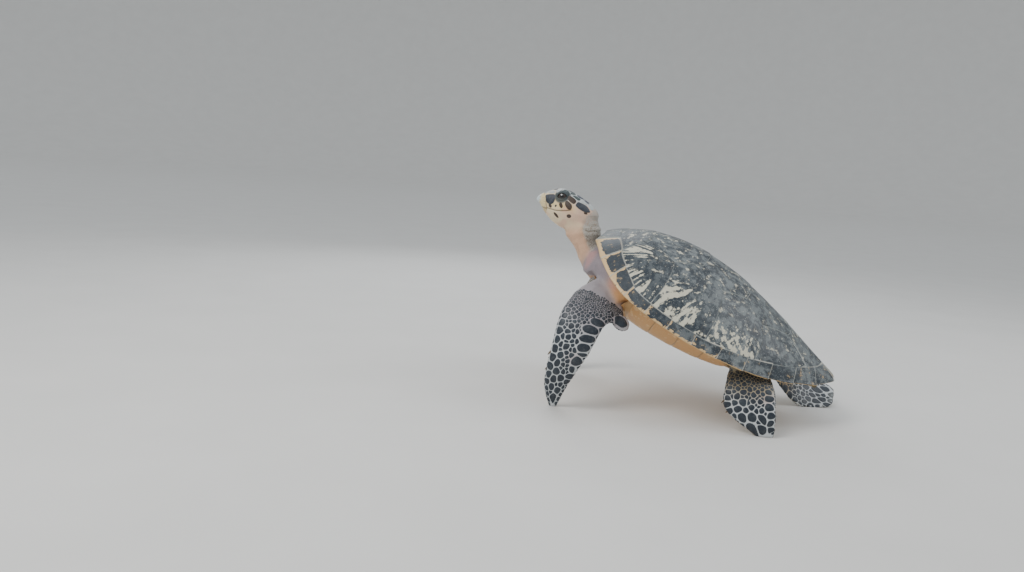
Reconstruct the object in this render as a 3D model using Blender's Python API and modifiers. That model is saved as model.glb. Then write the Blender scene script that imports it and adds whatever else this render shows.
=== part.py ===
"""Hawksbill sea turtle, a subadult, life size: a still model standing on its flippers.

Metres. +Z is up, the beak points along -Y, the animal's left side is +X.
The shell is drawn in its own frame (nuchal edge at the origin, +Y to the tail)
and then pitched and leaned by two empties; limbs and neck are drawn standing.
"""
import bpy
import bmesh
import math
from mathutils import Matrix, Vector

# ---------------------------------------------------------------- sizes
SHELL_LENGTH = 0.500        # straight, nuchal edge to tail point
PITCH = math.radians(26.5)  # nose up
LEAN = math.radians(8.0)    # left side down
NUCHAL_PLACE = Vector((0.0, 0.003, 0.302))
CENTRE_SHIFT = Vector((0.0034, -0.1758, 0.0))   # brings the box centre onto the origin

PLATE = 0.0034              # thickness of a scute
PLATE_RISE = 0.0014         # how far its rear edge stands up
BED = 0.0013                # air between the body and the scutes
SEAM = 0.0012               # air between two scutes
GAP = 0.00035               # air between two parts of the body

HEAD_PITCH = math.radians(12.0)
HEAD_TURN = math.radians(6.0)
BEAK_TIP = Vector((0.006, -0.125, 0.3635))
MOUTH = -0.0112             # height of the mouth line below the beak tip
EYE_RADIUS = 0.0112
EYE_PLACE = Vector((0.0182, 0.0486, 0.0165))

HALF_WIDTH = ((0.0, 0.052), (0.008, 0.079), (0.03, 0.116), (0.064, 0.153), (0.105, 0.178),
              (0.155, 0.190), (0.20, 0.192), (0.25, 0.187), (0.30, 0.175), (0.35, 0.154),
              (0.40, 0.123), (0.445, 0.084), (0.478, 0.046), (0.492, 0.024), (0.50, 0.010))
EDGE_HEIGHT = ((0.0, 0.0), (0.03, -0.004), (0.06, -0.013), (0.10, -0.021), (0.175, -0.025),
               (0.25, -0.027), (0.325, -0.026), (0.40, -0.019), (0.46, -0.008), (0.50, 0.0))
KEEL_HEIGHT = ((0.0, 0.004), (0.025, 0.023), (0.05, 0.038), (0.095, 0.057), (0.15, 0.068),
               (0.19, 0.0705), (0.25, 0.0665), (0.295, 0.0585), (0.35, 0.045), (0.40, 0.031),
               (0.45, 0.0155), (0.50, 0.003))
# inner edge of the rim, station by station along the margin
RIM_INNER_X = ((0.0, 0.0485), (0.02, 0.0800), (0.04, 0.1070), (0.07, 0.1370), (0.11, 0.1665),
               (0.15, 0.1780), (0.19, 0.1812), (0.25, 0.1758), (0.30, 0.1610), (0.35, 0.1375),
               (0.40, 0.1045), (0.445, 0.0610), (0.475, 0.029), (0.50, 0.0008))
RIM_INNER_Y = ((0.0, 0.0355), (0.02, 0.0478), (0.04, 0.0590), (0.07, 0.0815), (0.11, 0.1145),
               (0.15, 0.152), (0.19, 0.190), (0.25, 0.250), (0.30, 0.300), (0.35, 0.348),
               (0.40, 0.395), (0.445, 0.436), (0.475, 0.457), (0.50, 0.4655))
RIM_DEEP = ((0.0, 0.0042), (0.05, 0.0046), (0.10, 0.0090), (0.14, 0.0105), (0.40, 0.0100), (0.50, 0.0065))
BELLY_HALF = ((0.030, 0.052), (0.060, 0.078), (0.095, 0.104), (0.120, 0.152), (0.160, 0.1650),
              (0.250, 0.1610), (0.300, 0.146), (0.330, 0.102), (0.360, 0.078), (0.400, 0.040))
BELLY_HEIGHT = ((0.030, -0.066), (0.060, -0.079), (0.120, -0.086), (0.200, -0.083),
                (0.300, -0.069), (0.350, -0.057), (0.400, -0.042))


def profile(knots):
    """A smooth curve through (place, value) knots that never overshoots them."""
    xs = [k[0] for k in knots]
    ys = [k[1] for k in knots]
    steps = [(ys[i + 1] - ys[i]) / (xs[i + 1] - xs[i]) for i in range(len(xs) - 1)]
    slopes = [steps[0]]
    for a, b in zip(steps, steps[1:]):
        slopes.append(0.0 if a * b <= 0 else 2 * a * b / (a + b))
    slopes.append(steps[-1])

    def value(x):
        x = min(max(x, xs[0]), xs[-1])
        i = max(k for k in range(len(xs) - 1) if xs[k] <= x)
        h = xs[i + 1] - xs[i]
        u = (x - xs[i]) / h
        return ((2 * u**3 - 3 * u**2 + 1) * ys[i] + (u**3 - 2 * u**2 + u) * h * slopes[i]
                + (3 * u**2 - 2 * u**3) * ys[i + 1] + (u**3 - u**2) * h * slopes[i + 1])
    return value


def lerp(a, b, u):
    return a + (b - a) * u


half_width = profile(HALF_WIDTH)
edge_height = profile(EDGE_HEIGHT)
keel_height = profile(KEEL_HEIGHT)
rim_inner_x = profile(RIM_INNER_X)
rim_inner_y = profile(RIM_INNER_Y)
rim_deep = profile(RIM_DEEP)
belly_half = profile(BELLY_HALF)
belly_height = profile(BELLY_HEIGHT)


def power(value, exponent):
    return math.copysign(abs(value) ** exponent, value)


def dome(x, y):
    """Height of the carapace over a place in plan."""
    y = min(max(y, 0.0005), SHELL_LENGTH - 0.0005)
    side = min(abs(x) / half_width(y), 1.0)
    low = edge_height(y)
    ridge = 0.0022 * math.exp(-(x / 0.011) ** 2) * min(1.0, y / 0.06)
    return low + (keel_height(y) - low) * (1.0 - side ** 2.3) + ridge


def belly(x, y):
    """Height of the plastron's face over a place in plan."""
    wide = belly_half(y)
    side = abs(x) / wide
    bridge = max(0.0, min(1.0, (wide - 0.104) / 0.045))
    edge = lerp(belly_height(y) + 0.009, edge_height(y) - 0.006, bridge)
    return lerp(belly_height(y), edge, side ** (2.0 + 2.6 * bridge))


# ---------------------------------------------------------------- the scene
for item in list(bpy.data.objects):
    bpy.data.objects.remove(item, do_unlink=True)
PARTS = bpy.data.collections.new("hawksbill_turtle")
CUTTERS = bpy.data.collections.new("cutters")
bpy.context.scene.collection.children.link(PARTS)
bpy.context.scene.collection.children.link(CUTTERS)

MATERIALS = {}
for name, colour, rough in (
        ("skin", (0.30, 0.30, 0.30), 0.62), ("head_skin", (0.52, 0.44, 0.36), 0.55),
        ("carapace", (0.10, 0.11, 0.12), 0.38), ("plastron", (0.72, 0.50, 0.26), 0.45),
        ("beak", (0.62, 0.52, 0.32), 0.35), ("eye", (0.03, 0.025, 0.02), 0.08),
        ("claw", (0.10, 0.09, 0.08), 0.35)):
    material = bpy.data.materials.new(name)
    material.use_nodes = True
    shader = material.node_tree.nodes["Principled BSDF"]
    shader.inputs["Base Color"].default_value = (*colour, 1.0)
    shader.inputs["Roughness"].default_value = rough
    shader.inputs["Metallic"].default_value = 0.0
    MATERIALS[name] = material


def empty(name, place, turn, parent=None):
    item = bpy.data.objects.new(name, None)
    item.location = place
    item.rotation_euler = turn
    item.parent = parent
    PARTS.objects.link(item)
    return item


ROOT = empty("turtle_place", CENTRE_SHIFT, (0, 0, 0))
STANCE = empty("shell_pitch", NUCHAL_PLACE, (-PITCH, 0, 0), ROOT)
SHELL = empty("shell_lean", (0, 0, 0), (0, LEAN, 0), STANCE)
HEAD_YAW = empty("head_turn", BEAK_TIP, (0, 0, HEAD_TURN), ROOT)
HEAD = empty("head_pitch", (0, 0, 0), (-HEAD_PITCH, 0, 0), HEAD_YAW)


def add(name, bm, parent, look=None, cutter=False):
    """Makes an object of the mesh; a look gives it a material of its own."""
    bmesh.ops.recalc_face_normals(bm, faces=bm.faces)
    mesh = bpy.data.meshes.new(name)
    bm.to_mesh(mesh)
    bm.free()
    item = bpy.data.objects.new(name, mesh)
    item.parent = parent
    if cutter:
        item.hide_render = True
        item.display_type = "WIRE"
        CUTTERS.objects.link(item)
    else:
        PARTS.objects.link(item)
        own = MATERIALS[look].copy()
        own.name = name + "_" + look
        mesh.materials.append(own)
    return item


def cut(item, *cutters):
    for cutter in cutters:
        step = item.modifiers.new("clear_of_" + cutter.name, "BOOLEAN")
        step.operation = "DIFFERENCE"
        step.solver = "EXACT"
        step.object = cutter


def loft(rings):
    """A closed solid through rings of points, each with the same count."""
    bm = bmesh.new()
    rows = [[bm.verts.new(place) for place in ring] for ring in rings]
    count = len(rows[0])
    for front, back in zip(rows, rows[1:]):
        for i in range(count):
            j = (i + 1) % count
            bm.faces.new((front[i], front[j], back[j], back[i]))
    bm.faces.new(rows[0])
    bm.faces.new(list(reversed(rows[-1])))
    bmesh.ops.triangulate(bm, faces=bm.faces)
    return bm


def grown(bm, amount):
    """The same solid with its surface moved out, for a cutter that leaves a little air."""
    bmesh.ops.recalc_face_normals(bm, faces=bm.faces)
    moves = [(vert, vert.normal * vert.calc_shell_factor() * amount) for vert in bm.verts]
    for vert, move in moves:
        vert.co += move
    return bm


def angles(count):
    return [2 * math.pi * i / count for i in range(count)]


# ---------------------------------------------------------------- scutes
def scute(name, place, rows, columns, rise=PLATE_RISE):
    """A plate over the dome; place(u, v) gives its spot in plan, u runs to the tail."""
    bm = bmesh.new()
    bmesh.ops.create_grid(bm, x_segments=rows, y_segments=columns, size=0.5)
    for vert in bm.verts:
        u = vert.co.x + 0.5
        v = vert.co.y + 0.5
        x, y = place(u, v)
        vert.co = (x, y, dome(x, y) + rise * u)
    item = add(name, bm, SHELL, "carapace")
    for face in item.data.polygons:
        face.use_smooth = True
    if sum(face.normal.z for face in item.data.polygons) < 0:
        item.data.flip_normals()
    skin = item.modifiers.new("thickness", "SOLIDIFY")
    skin.thickness = PLATE
    skin.offset = 1.0
    skin.use_even_offset = True
    return item


def shrink(u, length):
    """Pulls 0..1 in by half a seam at both ends of a run of this length."""
    inset = 0.5 * SEAM / length
    return inset + u * (1 - 2 * inset)


# vertebral seams: distance along the shell, half-width; and the corner between two of them
SEAMS = ((0.0295, 0.0), (0.0850, 0.053), (0.192, 0.058), (0.287, 0.056), (0.385, 0.036), (0.464, 0.0))
CORNERS = ((0.057, 0.094), (0.142, 0.088), (0.238, 0.087), (0.329, 0.081), (0.432, 0.066))


def vertebral_side(number, u):
    """Half-width of a vertebral and how far along its corner lies."""
    start, end, corner = SEAMS[number - 1], SEAMS[number], CORNERS[number - 1]
    if number == 5:
        return lerp(0.036, 0.0615, u)
    if number == 1:
        return lerp(0.094, 0.053, u)
    middle = (corner[0] - start[0] + 0.004) / (end[0] - start[0])
    if u < middle:
        return lerp(start[1], corner[1], u / middle)
    return lerp(corner[1], end[1], (u - middle) / (1 - middle))


def vertebral(number):
    start, end = SEAMS[number - 1][0], SEAMS[number][0]

    def place(u, v):
        u = shrink(u, end - start)
        v = 2 * shrink(v, 0.14) - 1
        wide = vertebral_side(number, u)
        bow_front = (0.0260 if number == 1 else -0.004) * v * v
        rear = end - 0.004 * v * v
        if number == 5:
            rear = rim_line(abs(v) * wide) - 0.0022
        return v * wide, lerp(start + bow_front + (0.0009 if number == 1 else 0.0), rear, u)
    return place


def rim_line(x):
    """Where the inner edge of the rim lies behind the last vertebral, x from the keel."""
    low, high = 0.40, SHELL_LENGTH
    for step in range(30):
        middle = 0.5 * (low + high)
        low, high = (middle, high) if rim_inner_x(middle) > x else (low, middle)
    return rim_inner_y(low)


def nuchal_place(u, v):
    u = shrink(u, 0.034)
    v = 2 * shrink(v, 0.09) - 1
    return v * lerp(0.040, 0.047, u), lerp(0.002 - 0.002 * v * v, 0.0295 + 0.0062 * v * v, u)


def rim_inner(station):
    return Vector((rim_inner_x(station), rim_inner_y(station)))


# each costal: its inner path (three corners) and the stretch of rim it reaches
COSTALS = (
    ((0.094, 0.0560), (0.053, 0.0810), (0.088, 0.142), 0.033, 0.142),
    ((0.088, 0.142), (0.058, 0.188), (0.087, 0.238), 0.142, 0.252),
    ((0.087, 0.238), (0.056, 0.283), (0.081, 0.329), 0.252, 0.345),
    ((0.081, 0.329), (0.036, 0.381), (0.0615, 0.4285), 0.345, 0.430),
)


def costal(number, side):
    front, middle, rear, reach_front, reach_rear = COSTALS[number - 1]
    knee = 0.34 if number == 1 else 0.5

    def place(u, v):
        u = shrink(u, rear[1] - front[1])
        v = shrink(v, 0.09)
        if u < knee:
            inner = [lerp(a, b, u / knee) for a, b in zip(front, middle)]
        else:
            inner = [lerp(a, b, (u - knee) / (1 - knee)) for a, b in zip(middle, rear)]
        inset = (0.0029, 0.0016, 0.0016, 0.0032)[number - 1]
        outer = rim_inner(lerp(reach_front, reach_rear, u)) - Vector((inset, 0.5 * inset * u))
        bow = 0.006 * math.sin(math.pi * v) * (u if number == 1 else 1 - u if number == 4 else 1)
        return side * (lerp(inner[0], outer[0], v) + SEAM * 0.8 * (1 - v)), lerp(inner[1], outer[1], v) + bow
    return place


scute("nuchal", nuchal_place, 3, 5, 0.0006)
for number in range(1, 6):
    scute("vertebral_%d" % number, vertebral(number), 6, 5)
for side, word in ((1, "left"), (-1, "right")):
    for number in range(1, 5):
        scute("costal_%s_%d" % (word, number), costal(number, side), 6, 4)


# ---------------------------------------------------------------- rim of marginals
MARGINALS = (0.0, 0.030, 0.062, 0.100, 0.145, 0.190, 0.238, 0.286, 0.334, 0.380, 0.424, 0.464, 0.500)


def rim_ring(station, spike, side):
    """Section of the rim at one station: over the top, round the edge and back below."""
    inner = rim_inner(station)
    tip = Vector((half_width(station), station))
    if station < 0.03:
        tip = Vector((lerp(0.0435, half_width(0.03), (station / 0.03) ** 0.8), station - 0.001))
    outward = (tip - inner).normalized()
    tip = tip + outward * spike
    inner = inner + outward * 0.5 * SEAM
    top, below = [], []
    for r in (0.0, 0.55, 1.0):
        spot = inner.lerp(tip, r)
        lift = dome(spot.x, spot.y) + PLATE * (1 - 0.45 * r)
        deep = lerp(rim_deep(station), 0.0022, r ** 1.3)
        top.append(Vector((side * max(spot.x, 0.0004), spot.y, lift)))
        below.append(Vector((side * max(spot.x, 0.0004), spot.y, lift - deep)))
    return top + list(reversed(below))


def rim(side):
    rings = []
    last = len(MARGINALS) - 2
    for number, (start, end) in enumerate(zip(MARGINALS, MARGINALS[1:])):
        spike = profile(((0.0, 0.0), (0.2, 0.0012), (0.4, 0.003), (0.5, 0.0055)))(end)
        for u in (0.02, 0.5, 0.98):
            point = spike * max(0.0, (u - 0.25) / 0.75) if number < last else 0.0
            rings.append(rim_ring(lerp(start, end, u), point, side))
    return loft(rings)


add("rim_left", rim(1), SHELL, "carapace")
add("rim_right", rim(-1), SHELL, "carapace")


# ---------------------------------------------------------------- plastron
ACROSS = (-1.0, -0.93, -0.82, -0.62, -0.32, 0.0, 0.32, 0.62, 0.82, 0.93, 1.0)
BELLY_THICK = 0.0036


def plastron_mesh():
    rows = []
    for y in (0.030, 0.060, 0.095, 0.107, 0.120, 0.160, 0.205, 0.250, 0.300, 0.315, 0.330, 0.360, 0.400):
        below = [Vector((belly_half(y) * v, y, belly(belly_half(y) * v, y))) for v in ACROSS]
        rows.append(below + [spot + Vector((0, 0, BELLY_THICK)) for spot in reversed(below)])
    return loft(rows)


add("plastron", plastron_mesh(), SHELL, "plastron")


# ---------------------------------------------------------------- trunk
TRUNK_HALF = profile(((0.002, 0.046), (0.010, 0.066), (0.020, 0.080), (0.030, 0.092), (0.060, 0.112),
                      (0.095, 0.132), (0.120, 0.146), (0.160, 0.1590), (0.200, 0.1605), (0.250, 0.1560),
                      (0.300, 0.143), (0.330, 0.134), (0.370, 0.110), (0.410, 0.074), (0.430, 0.052),
                      (0.452, 0.022)))
TRUNK_TOP = profile(((0.002, -0.024), (0.010, -0.012), (0.020, -0.0068), (0.030, -0.0045)))
TRUNK_LOW = profile(((0.002, -0.061), (0.010, -0.067), (0.020, -0.067), (0.028, -0.0525), (0.030, -0.0522)))


def trunk_ring(y, count=18):
    ring = []
    wide = TRUNK_HALF(y)
    for angle in angles(count):
        x = wide * power(math.cos(angle), 0.62)
        weight = abs(math.sin(angle)) ** 0.62
        bridge = max(0.0, min(1.0, (belly_half(min(max(y, 0.03), 0.40)) - 0.104) / 0.045))
        middle = edge_height(y) - lerp(0.020, 0.0005, bridge)
        if y < 0.03:
            middle = lerp(-0.040, edge_height(0.03) - 0.020, (y - 0.002) / 0.028)
        if y > 0.38:
            middle = lerp(middle, -0.006, min(1.0, (y - 0.38) / 0.07))
        if math.sin(angle) >= 0:
            top = dome(x, max(y, 0.03)) - (BED if y > 0.09 else 0.0018)
            if y < 0.03:
                top = min(top, TRUNK_TOP(y))
            z = lerp(middle, top, weight)
        else:
            low = belly(min(abs(x), belly_half(y)), min(max(y, 0.03), 0.40)) + BELLY_THICK + 0.0032
            if y < 0.03:
                low = TRUNK_LOW(y)
            if y > 0.38:
                low = lerp(low, -0.016, min(1.0, (y - 0.38) / 0.072))
            z = lerp(middle, low, weight)
        ring.append(Vector((x, y, z)))
    return ring


def trunk_mesh():
    ys = [0.002, 0.010, 0.020, 0.028, 0.036, 0.060, 0.095, 0.107, 0.120, 0.160, 0.205, 0.25,
          0.300, 0.315, 0.330, 0.36, 0.385, 0.41, 0.43, 0.452]
    return loft([trunk_ring(y) for y in ys])


add("trunk", trunk_mesh(), SHELL, "skin")

# cutters a little fatter than what they clear
trunk_clear = add("trunk_clearance", grown(trunk_mesh(), 2 * GAP), SHELL, cutter=True)
belly_clear = add("plastron_clearance", grown(plastron_mesh(), GAP), SHELL, cutter=True)


# ---------------------------------------------------------------- head
HEAD_HALF = profile(((0.0, 0.0022), (0.004, 0.0070), (0.012, 0.0125), (0.022, 0.0175), (0.034, 0.0240),
                     (0.046, 0.0295), (0.060, 0.0335), (0.078, 0.0362), (0.096, 0.0352),
                     (0.112, 0.0300), (0.120, 0.0235), (0.124, 0.0140)))
HEAD_TOP = profile(((0.0, 0.0028), (0.004, 0.0070), (0.012, 0.0137), (0.022, 0.0222), (0.034, 0.0290),
                    (0.046, 0.0316), (0.060, 0.0305), (0.078, 0.0262), (0.096, 0.0205),
                    (0.112, 0.0130), (0.120, 0.0068), (0.124, 0.0005)))
HEAD_LOW = profile(((0.0, -0.0018), (0.004, -0.0034), (0.008, -0.0062), (0.012, -0.0108), (0.018, -0.0180),
                    (0.026, -0.0250), (0.036, -0.0320), (0.048, -0.0375), (0.062, -0.0415), (0.080, -0.0430),
                    (0.098, -0.0390), (0.112, -0.0300), (0.120, -0.0220), (0.124, -0.0130)))
WIDEST = profile(((0.0, 0.0), (0.02, -0.002), (0.05, 0.000), (0.08, -0.006), (0.124, -0.006)))


def head_ring(y, grow=0.0, count=16):
    """Section of the head: a flat crown, a brow over the eye, cheeks tapering to the chin."""
    ring = []
    wide, top, low, middle = HEAD_HALF(y) + grow, HEAD_TOP(y) + grow, HEAD_LOW(y) - grow, WIDEST(y)
    for angle in angles(count):
        c, s = math.cos(angle), math.sin(angle)
        if s >= 0:
            x, z = wide * power(c, 0.80), middle + (top - middle) * s ** 0.86
        else:
            x, z = wide * power(c, 0.92), middle + (low - middle) * abs(s) ** 0.95
        ring.append(Vector((x, y, z)))
    return ring


HEAD_STATIONS = (0.0004, 0.003, 0.008, 0.014, 0.021, 0.029, 0.038, 0.047, 0.057, 0.068,
                 0.080, 0.092, 0.103, 0.112, 0.119, 0.1238)


def head_mesh(grow=0.0, stations=HEAD_STATIONS):
    return loft([head_ring(y, grow) for y in stations])


def slice_mesh(bm, point, normal):
    """Keeps what lies behind the plane and closes the cut."""
    geometry = bm.verts[:] + bm.edges[:] + bm.faces[:]
    made = bmesh.ops.bisect_plane(bm, geom=geometry, plane_co=point, plane_no=normal,
                                  clear_outer=True, dist=1e-6)
    edges = [item for item in made["geom_cut"] if isinstance(item, bmesh.types.BMEdge)]
    bmesh.ops.edgeloop_fill(bm, edges=edges)
    bmesh.ops.triangulate(bm, faces=bm.faces)
    return bm


# the horn of the beak: a slice of the snout in front of a slanted edge
UPPER_EDGE = (Vector((0, 0.0105, 0.015)), Vector((0, 0.0255, MOUTH)))
LOWER_EDGE = (Vector((0, 0.0250, MOUTH)), Vector((0, 0.0215, -0.030)))


def edge_plane(edge, shift):
    along = edge[1] - edge[0]
    normal = Vector((0, -along.z, along.y)).normalized()
    if normal.y < 0:
        normal = -normal
    return edge[0] + normal * shift, normal


def beak_mesh(upper, grow=0.0):
    bm = head_mesh(grow)
    edge = UPPER_EDGE if upper else LOWER_EDGE
    point, normal = edge_plane(edge, grow)
    slice_mesh(bm, point, normal)
    height = MOUTH + (0.0002 - grow if upper else -0.0002 + grow)
    slice_mesh(bm, Vector((0, 0, height)), Vector((0, 0, -1 if upper else 1)))
    return bm


head = add("head", head_mesh(), HEAD, "head_skin")
add("beak_upper", beak_mesh(True), HEAD, "beak")
add("beak_lower", beak_mesh(False), HEAD, "beak")
cut(head, add("beak_clearance_upper", beak_mesh(True, GAP), HEAD, cutter=True),
    add("beak_clearance_lower", beak_mesh(False, GAP), HEAD, cutter=True))


def ball(radius, place, segments=14):
    bm = bmesh.new()
    bmesh.ops.create_uvsphere(bm, u_segments=segments, v_segments=segments // 2, radius=radius)
    bmesh.ops.rotate(bm, verts=bm.verts, cent=(0, 0, 0), matrix=Matrix.Rotation(math.pi / 2, 3, "Y"))
    bmesh.ops.translate(bm, verts=bm.verts, vec=place)
    bmesh.ops.triangulate(bm, faces=bm.faces)
    return bm


for side, word in ((1, "left"), (-1, "right")):
    spot = Vector((side * EYE_PLACE.x, EYE_PLACE.y, EYE_PLACE.z))
    add("eye_" + word, ball(EYE_RADIUS, spot), HEAD, "eye")
    cut(head, add("socket_" + word, ball(EYE_RADIUS + GAP, spot), HEAD, cutter=True))
head_clear = add("head_clearance", head_mesh(GAP), HEAD, cutter=True)


# ---------------------------------------------------------------- neck
def tube(stations, count=18, squareness=1.0):
    """Loft along a spine; a station holds its centre, two half axes and their lengths."""
    rings = []
    for centre, across, along, wide, deep in stations:
        ring = []
        for angle in angles(count):
            c, s = power(math.cos(angle), squareness), power(math.sin(angle), squareness)
            ring.append(Vector(centre) + Vector(across) * wide * c + Vector(along) * deep * s)
        rings.append(ring)
    return loft(rings)


# spine of the neck: y, z, slope of the section, half-width, half-depth
NECK = ((-0.036, 0.325, 20, 0.026, 0.031), (-0.0300, 0.306, 14, 0.0300, 0.0345),
        (-0.0245, 0.289, 6, 0.0290, 0.0280), (-0.0160, 0.270, -6, 0.0315, 0.0260),
        (-0.0080, 0.251, -16, 0.0370, 0.0290), (0.000, 0.233, -24, 0.042, 0.0310),
        (0.010, 0.214, -30, 0.044, 0.0320))
stations = []
for y, z, slope, wide, deep in NECK:
    slant = math.radians(slope)
    lean = 0.005 if z > 0.28 else 0.004
    stations.append(((lean, y, z), (1, 0, 0), (0, math.cos(slant), math.sin(slant)), wide, deep))
neck = add("neck", tube(stations), ROOT, "skin")
chest_bm = bmesh.new()
bmesh.ops.create_cube(chest_bm, size=1.0)
bmesh.ops.scale(chest_bm, vec=(0.20, 0.12, 0.09), verts=chest_bm.verts)
bmesh.ops.translate(chest_bm, vec=(0, 0.0293 + 0.06, -0.0525 - 0.045), verts=chest_bm.verts)
chest_clear = add("chest_clearance", chest_bm, SHELL, cutter=True)
cut(neck, head_clear, trunk_clear, chest_clear)


# ---------------------------------------------------------------- flippers
def blade_ring(lead, trail, thick, face, count=12):
    """Section of a flipper: rounded in front, thin behind; face points out of its upper side."""
    lead, trail = Vector(lead), Vector(trail)
    chord = trail - lead
    out = (Vector(face) - chord * (Vector(face).dot(chord) / chord.length_squared)).normalized()
    ring = []
    for angle in angles(count):
        u = 0.5 - 0.5 * math.cos(angle)
        fat = 1.9 * math.sqrt(u) * (1 - u) ** 0.62 * (1.0 - 0.20 * u) + 0.05 * math.sin(math.pi * u)
        half = 0.5 * thick * min(1.0, fat) + (0.0004 if 0.01 < u < 0.99 else 0.0)
        ring.append(lead + chord * u + out * half * (1 if math.sin(angle) > 0 else -1)
                    * (0.0 if abs(math.sin(angle)) < 1e-6 else 1.0))
    return ring


def smooth_stations(stations, between=2):
    """More stations on a smooth path through the named ones."""
    result = []
    last = len(stations) - 1

    def blend(a, b, c, d, u):
        return 0.5 * (2 * b + (c - a) * u + (2 * a - 5 * b + 4 * c - d) * u * u
                      + (3 * b - a - 3 * c + d) * u**3)
    for number in range(last):
        four = [stations[min(max(number + k, 0), last)] for k in (-1, 0, 1, 2)]
        for part in range(between):
            u = part / between
            made = [blend(*[Vector(item[k]) for item in four], u) for k in (0, 1, 3)]
            result.append((made[0], made[1], blend(*[item[2] for item in four], u), made[2]))
    result.append(stations[-1])
    return result


def flipper(name, stations, count):
    """stations: leading edge, trailing edge, thickness, outward direction."""
    return add(name, loft([blade_ring(*station, count) for station in smooth_stations(stations)]),
               ROOT, "skin")


# left front flipper, root to tip
FRONT_LEFT = (
    ((0.060, 0.040, 0.246), (0.056, 0.075, 0.212), 0.036, (0.3, 0.5, 0.8)),
    ((0.108, -0.010, 0.216), (0.106, 0.071, 0.183), 0.043, (0.75, 0.1, 0.6)),
    ((0.130, -0.0245, 0.197), (0.130, 0.071, 0.163), 0.036, (0.9, 0.0, 0.4)),
    ((0.148, -0.035, 0.176), (0.146, 0.050, 0.161), 0.029, (1.0, 0.0, 0.28)),
    ((0.160, -0.040, 0.152), (0.160, 0.040, 0.148), 0.024, (1.0, 0.0, 0.12)),
    ((0.167, -0.043, 0.127), (0.168, 0.032, 0.127), 0.020, (1.0, 0.05, 0.0)),
    ((0.169, -0.047, 0.100), (0.170, 0.022, 0.104), 0.0165, (1.0, 0.05, -0.08)),
    ((0.165, -0.052, 0.072), (0.166, 0.008, 0.079), 0.0140, (1.0, 0.05, -0.16)),
    ((0.156, -0.0545, 0.038), (0.157, -0.011, 0.044), 0.0115, (1.0, 0.05, -0.2)),
    ((0.147, -0.047, 0.008), (0.147, -0.026, 0.010), 0.0095, (1.0, 0.05, -0.2)),
    ((0.146, -0.041, -0.004), (0.146, -0.032, -0.003), 0.0060, (1.0, 0.05, -0.2)),
)


def mirrored(stations, tip_shift, root_shift):
    """The right side: mirrored, its root lifted by the lean and its tip moved along."""
    result = []
    last = len(stations) - 1
    for number, (lead, trail, thick, face) in enumerate(stations):
        u = (number / last) ** 0.9
        shift = Vector(root_shift).lerp(Vector(tip_shift), u)
        flip = Vector((-1, 1, 1))
        result.append((Vector(lead) * flip + shift, Vector(trail) * flip + shift, thick,
                       Vector(face) * flip))
    return result


FRONT_RIGHT = mirrored(FRONT_LEFT, (0.004, -0.034, 0.0), (0.002, 0.016, 0.022))

# left rear flipper: a paddle hanging down from the hip
REAR_LEFT = (
    ((0.080, 0.262, 0.130), (0.080, 0.322, 0.105), 0.030, (0.4, 0.3, 0.9)),
    ((0.104, 0.262, 0.112), (0.102, 0.332, 0.093), 0.032, (0.7, 0.1, 0.6)),
    ((0.124, 0.259, 0.090), (0.122, 0.339, 0.081), 0.027, (0.9, 0.0, 0.4)),
    ((0.138, 0.2565, 0.068), (0.136, 0.343, 0.068), 0.021, (1.0, 0.0, 0.3)),
    ((0.147, 0.256, 0.049), (0.146, 0.3445, 0.053), 0.0165, (1.0, 0.0, 0.2)),
    ((0.152, 0.265, 0.034), (0.152, 0.346, 0.040), 0.0135, (1.0, 0.0, 0.1)),
    ((0.155, 0.282, 0.0205), (0.155, 0.3465, 0.027), 0.0110, (1.0, 0.0, 0.0)),
    ((0.155, 0.301, 0.0095), (0.156, 0.3465, 0.0135), 0.0090, (1.0, 0.0, 0.0)),
    ((0.154, 0.314, 0.001), (0.155, 0.346, 0.004), 0.0080, (1.0, 0.0, 0.0)),
    ((0.154, 0.320, -0.004), (0.154, 0.343, -0.003), 0.0060, (1.0, 0.0, 0.0)),
)

# right rear flipper: stretched out behind, its inner edge on the floor
REAR_RIGHT = (
    ((-0.088, 0.318, 0.120), (-0.060, 0.318, 0.080), 0.028, (-0.2, 0.6, 0.8)),
    ((-0.108, 0.340, 0.103), (-0.068, 0.345, 0.067), 0.029, (-0.4, 0.3, 0.8)),
    ((-0.128, 0.362, 0.084), (-0.076, 0.364, 0.042), 0.024, (-0.4, 0.0, 0.9)),
    ((-0.146, 0.386, 0.066), (-0.082, 0.384, 0.019), 0.019, (-0.4, 0.0, 0.9)),
    ((-0.160, 0.410, 0.053), (-0.087, 0.402, 0.004), 0.0155, (-0.4, 0.0, 0.9)),
    ((-0.169, 0.432, 0.045), (-0.092, 0.421, -0.002), 0.0130, (-0.4, 0.0, 0.9)),
    ((-0.171, 0.452, 0.039), (-0.098, 0.441, -0.003), 0.0110, (-0.4, 0.0, 0.9)),
    ((-0.166, 0.468, 0.033), (-0.107, 0.460, 0.000), 0.0090, (-0.4, 0.0, 0.9)),
    ((-0.156, 0.477, 0.028), (-0.118, 0.472, 0.007), 0.0070, (-0.4, 0.0, 0.9)),
)

floor_bm = bmesh.new()
bmesh.ops.create_cube(floor_bm, size=1.0)
bmesh.ops.scale(floor_bm, vec=(1.2, 1.6, 0.2), verts=floor_bm.verts)
bmesh.ops.translate(floor_bm, vec=(0, 0.15, -0.1), verts=floor_bm.verts)
floor_plane = add("floor_trim", floor_bm, ROOT, cutter=True)

front_left = flipper("flipper_front_left", FRONT_LEFT, 12)
front_right = flipper("flipper_front_right", FRONT_RIGHT, 12)
rear_left = flipper("flipper_rear_left", REAR_LEFT, 14)
rear_right = flipper("flipper_rear_right", REAR_RIGHT, 14)


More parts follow.
